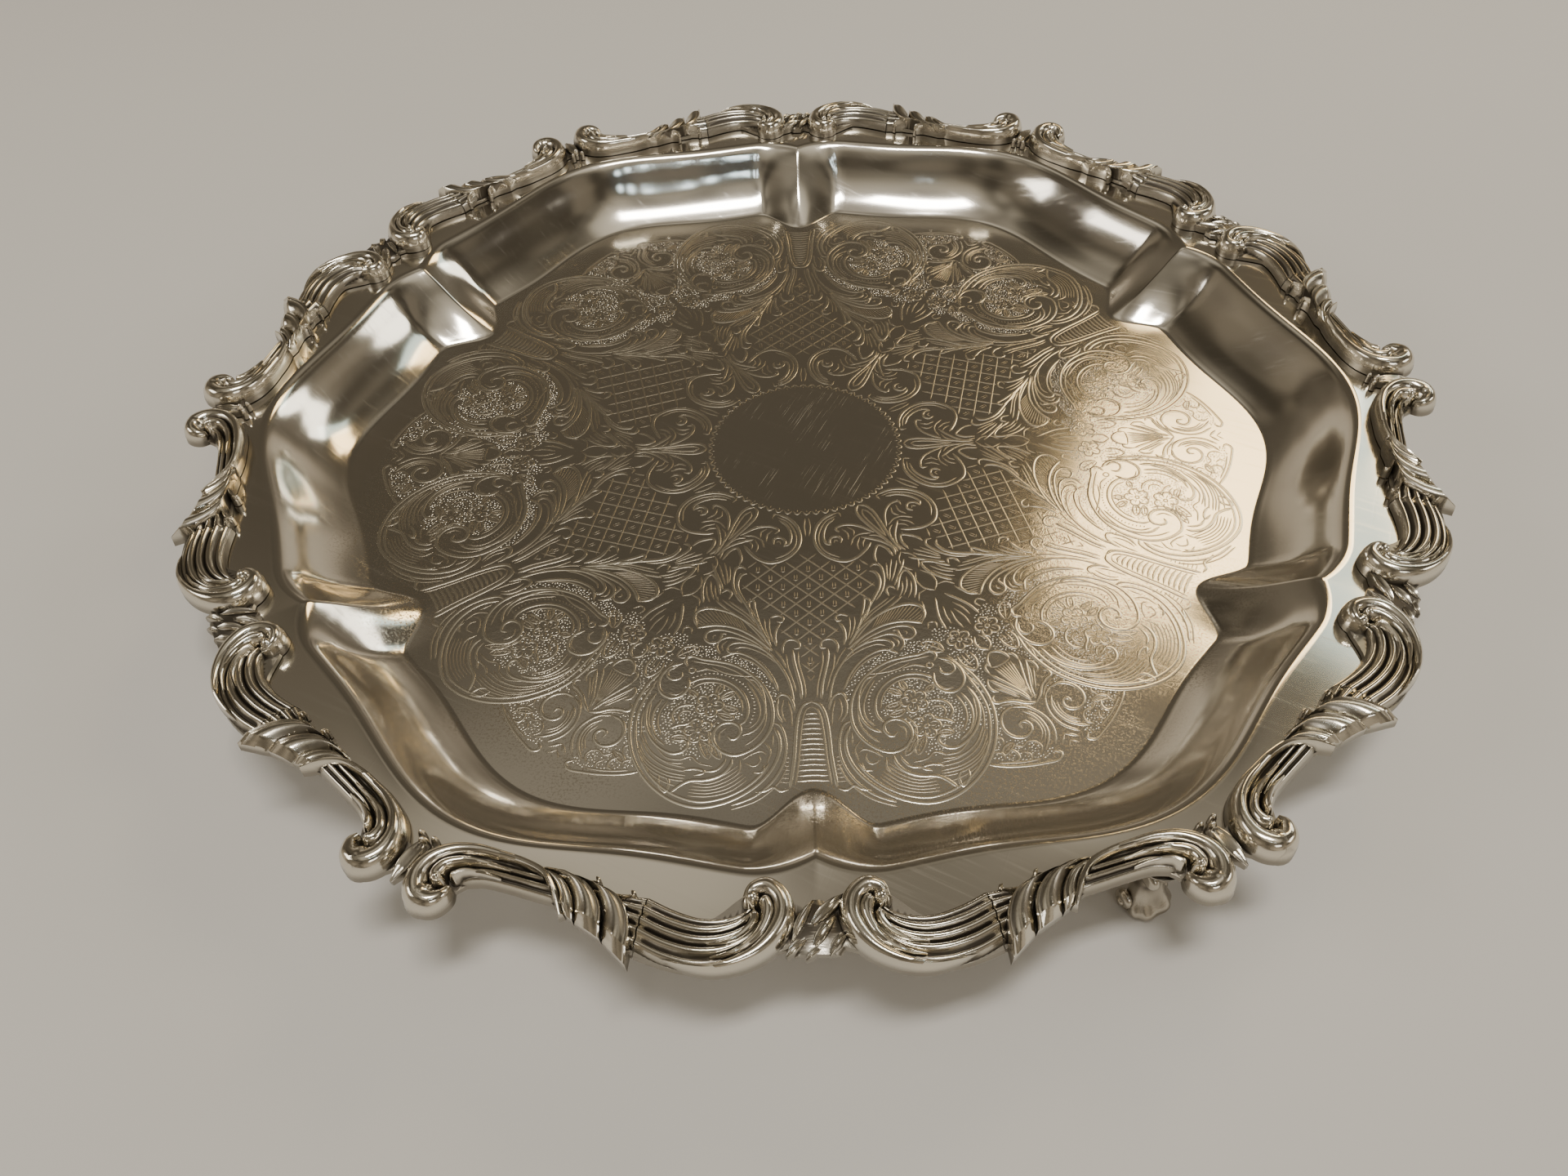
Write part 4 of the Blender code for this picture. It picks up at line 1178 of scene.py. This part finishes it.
def leaf_scroll_half():
    """The right half of an outward pair: a rolled volute, reeded arch and overlapping leaf lobes."""
    inner = [(34.5, 168.9), (29, 169.2), (23, 169.8), (17, 170.6), (12.5, 172.2)]
    outer = [(35.5, 175.6), (29.5, 175.9), (23.5, 176.3), (18, 177.2), (13.6, 179.4)]
    forms = [band(inner, outer, 4.0, reeds=4, depth=0.36, ends=(0.9, 0.8))]
    # stem that rises over the arch and rolls outwards into the volute
    forms.append(blade([(37.5, 178.0, 0.7, 3.6), (34.6, 174.0, 1.1, 4.9), (30.5, 170.8, 1.3, 5.2),
                        (25, 169.8, 1.35, 5.2), (19, 170.2, 1.5, 5.3), (13.4, 171.2, 1.8, 5.6),
                        (8.6, 173.6, 2.2, 5.9), (5.6, 177.4, 2.6, 6.2), (5.2, 181.8, 3.0, 6.25),
                        (7.4, 185.2, 3.3, 6.2), (10.6, 185.4, 2.9, 5.9), (12.6, 183.0, 1.9, 5.2),
                        (12.6, 181.0, 1.0, 4.2)]))
    forms.append(knob(8.3, 185.2, 3.9, 6.2))
    forms.append(blade([(23, 172.6, 0.5, 4.2), (17, 173.2, 1.1, 5.0), (12.4, 174.6, 1.5, 5.5),
                        (9.2, 177.2, 1.9, 5.8), (8.8, 179.8, 2.1, 6.0), (9.4, 180.8, 1.9, 6.0)]))
    forms.append(knob(9.4, 180.6, 2.05, 6.1))
    forms.append(blade([(22, 175.0, 0.4, 3.8), (17, 175.6, 0.9, 4.8), (13.6, 177.0, 1.2, 5.2),
                        (12.3, 178.6, 1.2, 5.3)]))
    forms.append(knob(12.3, 178.6, 1.25, 5.4))
    # broad lobes lapping over each other, each running out to the edge
    laps = ([(26.0, 170.4), (31.0, 171.2), (34.2, 173.4), (35.8, 176.6)],
            [(28.0, 169.4), (35.0, 170.6), (38.8, 174.2), (40.4, 178.4)],
            [(32.5, 168.6), (41.6, 170.6), (45.8, 175.0), (47.4, 180.8)],
            [(40.5, 169.8), (49.0, 171.8), (52.8, 177.0), (54.1, 185.2)])
    for one, other, high in zip(laps, laps[1:], (4.9, 5.6, 6.0)):
        forms.append(band(one, other, high, lapping=True, ends=(0.72, 0.6), count=34, across=23))
    # small curls that the lobes' inner edges end in
    for t, r in ((41.4, 170.0), (50.2, 171.2)):
        forms.append(blade([(t - 7.5, r + 0.2, 0.35, 4.7), (t - 3.6, r + 0.1, 0.5, 5.0),
                            (t - 0.8, r - 0.3, 0.55, 4.6), (t + 0.9, r - 1.1, 0.5, 4.0),
                            (t + 0.9, r - 2.0, 0.42, 3.5), (t + 0.1, r - 2.3, 0.35, 3.2)],
                           across=7, step=0.4))
    # reeds that come out from under the last lobe and carry on into the next casting
    forms.append(band([(54.15, 168.9), (50.0, 169.5), (45.0, 170.6)],
                      [(54.15, 181.4), (51.6, 180.0), (47.0, 176.8)],
                      4.6, reeds=5, depth=0.34, count=24))
    return forms


def leaf_centre():
    """Bead, trefoil and leaf in the notch between the two volutes of a pair."""
    forms = [blade([(0, 173.6, 0.8, 2.6), (0, 177.5, 1.9, 3.6), (0, 181.5, 1.7, 3.4), (0, 185.2, 0.4, 2.2)],
                   shape=veined,
                   step=0.45)]
    forms.append(knob(0, 174.4, 1.25, 4.0, 5, 14))
    for side in (-1, 1):
        forms.append(knob(side * 1.9, 172.9, 0.95, 3.3, 5, 12))
    return forms


def make_castings(stem, forms, first_axis, material, names):
    """One casting made once, then copied round the rim in place of each plain one."""
    flat = fused(stem, forms)
    mark_hollows(flat)
    points = rows_of(flat.vertices, "co", 3)
    made = []
    for k, node in enumerate(names):
        mesh = flat.copy()
        bent = on_border(points[:, 0], points[:, 1], points[:, 2], first_axis + k * LOBE) * MM
        mesh.vertices.foreach_set("co", bent.ravel())
        # bending round the rim turns a form into its mirror image, so its faces are turned outward again
        mesh.flip_normals()
        mesh.update()
        made.append((finished(f"{node}_cast", mesh, material, CAST_SHARP), node))
    bpy.data.meshes.remove(flat)
    return made


# ---- feet ------------------------------------------------------------------
FOOT_RADIUS = 174.0
FOOT_ANGLES = (-63, 63, 180)
# from the toe up: (height, offset outwards, depth, width)
FOOT_SECTIONS = ((0.0, -1.2, 7.0, 9.6), (0.9, -1.0, 8.8, 11.4), (2.4, -0.9, 9.2, 12.2), (5.2, -2.2, 7.0, 9.6),
                 (9.5, -3.6, 5.2, 7.2), (14.5, -2.8, 5.6, 7.8), (19.0, -0.9, 7.4, 10.8),
                 (23.0, 0.0, 8.4, 13.8), (26.0, 0.2, 10.0, 16.4), (26.9, 0.2, 11.2, 18.0),
                 (27.8, 0.2, 11.4, 18.4))
FLUTES = 7
LEAF_TOP = 25.8                # above this height the flutes grow shallow


def foot_form(sides=84, levels=56):
    """The stem: a fluted shell toe, a narrow waist and a spreading leaf top."""
    rows = np.array(FOOT_SECTIONS)
    heights = np.linspace(rows[0, 0], rows[-1, 0], levels)
    outwards, depth, width = (np.interp(heights, rows[:, 0], rows[:, k]) for k in (1, 2, 3))
    outwards, depth, width = (np.convolve(np.pad(column, 2, mode="edge"), (0.1, 0.2, 0.4, 0.2, 0.1), "valid")
                              for column in (outwards, depth, width))
    turn = 2 * pi * np.arange(sides) / sides
    x, y = (np.abs(wave) ** 0.85 * np.sign(wave) for wave in (np.cos(turn), np.sin(turn)))
    rings = []
    for z, out, deep, wide in zip(heights, outwards, depth, width):
        toe, top = np.exp(-((z - 2.4) / 3.0) ** 2), np.exp(-((z - 23.5) / 4.0) ** 2)
        groove = np.abs(np.sin(FLUTES * turn / 2 + pi / 2)) ** 3 * (1 if z < LEAF_TOP else 0.4)
        flute = 1 - (0.085 * toe + 0.07 * top) * groove
        flute *= 1 - 0.04 * np.exp(-((z - 10) / 5.0) ** 2) * (1 + np.cos(4 * turn))
        rings.append(np.stack([FOOT_RADIUS + out + x * deep / 2 * flute, y * wide / 2 * flute,
                               np.full(sides, z)], 1))
    return np.concatenate(rings), tube_faces(levels, sides)


def roll(x, y, z, radius, thick, sides=22, rings=9):
    """A small rounded disc standing across the foot, as a scroll's end."""
    points = []
    for i in range(rings):
        a = -pi / 2 + pi * (i + 0.5) / rings
        for k in range(sides):
            b = 2 * pi * k / sides
            points.append((x + radius * cos(a) ** 0.6 * cos(b), y + thick * sin(a),
                           z + radius * cos(a) ** 0.6 * sin(b)))
    return np.array(points), tube_faces(rings, sides)


def make_feet():
    """One foot made once, then copied to each place under the rim."""
    forms = [foot_form()]
    for side in (-1, 1):
        forms.append(roll(FOOT_RADIUS - 3.6, side * 5.0, 3.1, 2.7, 1.5))
        forms.append(roll(FOOT_RADIUS + 1.6, side * 6.6, 22.6, 2.3, 1.2))
        forms.append(roll(FOOT_RADIUS - 3.6, side * 6.0, 3.1, 1.2, 1.1))
    shape = fused("foot", forms)
    mark_hollows(shape)
    made = []
    for number, angle in enumerate(FOOT_ANGLES, 1):
        mesh = shape.copy()
        mesh.transform(Matrix.Rotation(radians(angle), 4, "Z") @ Matrix.Scale(MM, 4))
        made.append((finished(f"foot_{number}_cast", mesh, SHADED_FOOT, CAST_SHARP), f"foot_{number}"))
    bpy.data.meshes.remove(shape)
    return made


# ---- stage, light and camera ---------------------------------------------
def area_light(name, place, aim, size, power, color):
    """A soft rectangular light of some watts, at a place in metres, facing its aim."""
    data = bpy.data.lights.new(name, "AREA")
    data.shape, data.size, data.size_y = "RECTANGLE", size[0], size[1]
    data.energy, data.color = power, color
    light = linked(name, data)
    light.location = place
    light.rotation_euler = (Vector(aim) - Vector(place)).to_track_quat("-Z", "Y").to_euler()


def make_stage():
    """The pale floor, the soft room and the lights."""
    stone = bpy.data.materials.new("pale studio floor")
    graph = Graph(stone)
    cloud = graph.noise(graph.coordinates(), 3.0, 4.0)
    color = graph.blend(cloud, (0.66, 0.645, 0.62), (0.72, 0.705, 0.68))
    shader = graph.node("ShaderNodeBsdfPrincipled", {}, {"Base Color": color, "Roughness": 0.85})
    graph.node("ShaderNodeOutputMaterial", {}, {"Surface": shader})
    half = 12000                   # wide enough that its edge is never in view
    corners = [(-half, -half, 0), (half, -half, 0), (half, half, 0), (-half, half, 0)]
    floor = finished("studio_floor", new_mesh("studio_floor", corners, [(0, 1, 2, 3)]), stone)

    world = bpy.data.worlds.new("soft room")
    bpy.context.scene.world = world
    graph = Graph(world)
    direction = graph.node("ShaderNodeTexCoord", output="Generated")
    up = graph.xyz(direction)[2]
    tone = graph.node("ShaderNodeValToRGB", {"stops": ((0.0, (0.42, 0.38, 0.31)), (0.18, (0.34, 0.30, 0.24)),
                                                       (0.5, (0.150, 0.130, 0.098)),
                                                       (0.76, (0.125, 0.110, 0.085)),
                                                       (0.87, (0.34, 0.315, 0.26)),
                                                       (1.0, (0.62, 0.58, 0.50)))}, {"Fac": up})
    patches = graph.noise(direction, 2.6, 1.0, 0.4)
    room = graph.blend(patches.fade(0.36, 0.64), (0.42, 0.40, 0.37), (1.30, 1.26, 1.20))
    # the dim end of the room, which the tray's floor looks at
    dim = graph.xyz(direction)[1].fade(0.50, 0.72) * up.fade(0.30, 0.42)
    room = graph.blend(dim, room, (0.66, 0.64, 0.61))
    seen = graph.node("ShaderNodeMix", {"data_type": "RGBA", "blend_type": "MULTIPLY"},
                      {"Factor": 1.0, 6: tone, 7: room}, output=2)
    light = graph.node("ShaderNodeBackground", {}, {"Color": seen, "Strength": 1.0})
    graph.node("ShaderNodeOutputWorld", {}, {"Surface": light})

    middle = (0, 0, 0.02)
    area_light("warm_lamp", (0.66, 1.02, 1.12), (0.11, -0.03, 0.01), (0.44, 0.34), 2.5, (1.0, 0.73, 0.37))
    area_light("cool_window", (0.86, 0.86, 0.95), (0.16, -0.05, 0.02), (0.22, 0.5), 0.5, (0.80, 0.97, 0.90))
    area_light("far_window", (1.32, 1.02, 0.88), (-0.14, -0.03, 0.02), (0.75, 0.32), 2.6, (1.0, 0.95, 0.82))
    for number, x in enumerate((0.11, 0.32, 0.52), 1):
        area_light(f"small_lamp_{number}", (x, -1.02, 1.57), (-0.04, 0.15, 0.02), (0.03, 0.05), 0.12,
                   (0.74, 0.90, 1.0))
    area_light("left_softbox", (-1.7, -0.3, 1.1), middle, (0.9, 0.5), 6, (1.0, 0.94, 0.84))
    area_light("right_softbox", (1.9, -0.4, 1.0), middle, (0.8, 0.4), 4, (1.0, 0.94, 0.84))
    area_light("front_softbox", (0.8, -1.9, 1.2), middle, (0.8, 0.4), 3.5, (1.0, 0.95, 0.87))
    area_light("top_softbox", (0.1, -0.35, 2.3), middle, (0.9, 0.35), 27, (1.0, 0.95, 0.87))


CAMERA_PLACE, CAMERA_AIM = (-1.09, -277.75, 259.36), (-6.99, -60.3, 10.0)
CAMERA_ROLL = -2.48


def make_camera():
    """A wide lens close above the front, looking down into the tray."""
    lens = bpy.data.cameras.new("camera")
    lens.sensor_width, lens.lens = 36.0, 26.5
    lens.clip_start, lens.clip_end = 0.01, 50.0
    camera = linked("camera", lens)
    place, aim = Vector(CAMERA_PLACE) * MM, Vector(CAMERA_AIM) * MM
    camera.location = place
    level = (aim - place).to_track_quat("-Z", "Y")
    camera.rotation_mode = "QUATERNION"
    camera.rotation_quaternion = level @ Quaternion((0, 0, 1), radians(CAMERA_ROLL))
    bpy.context.scene.camera = camera


# ---- putting it together ---------------------------------------------------
make_camera()
make_stage()

tray = make_tray()
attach(tray, "root")
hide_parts("tray_body")

for piece in make_chasing():
    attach(piece, "root")

shell_names = [f"border_shell_scroll_{k + 1}" for k in range(LOBES)]
leaf_names = [f"border_leaf_scroll_{k + 1}" for k in range(LOBES)]
shell_forms = both_halves(SHELL_SEAM, 0, shell_scroll_half(), shell_centre())
leaf_forms = both_halves(LEAF_SEAM, LOBE / 2, leaf_scroll_half(), leaf_centre())
for piece, node in (make_castings("shell", shell_forms, FRONT, CAST, shell_names)
                    + make_castings("leaf", leaf_forms, SCROLL_AXIS, CAST, leaf_names)):
    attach(piece, "root")
    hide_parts(node)

for piece, node in make_feet():
    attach(piece, "root")
    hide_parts(node)
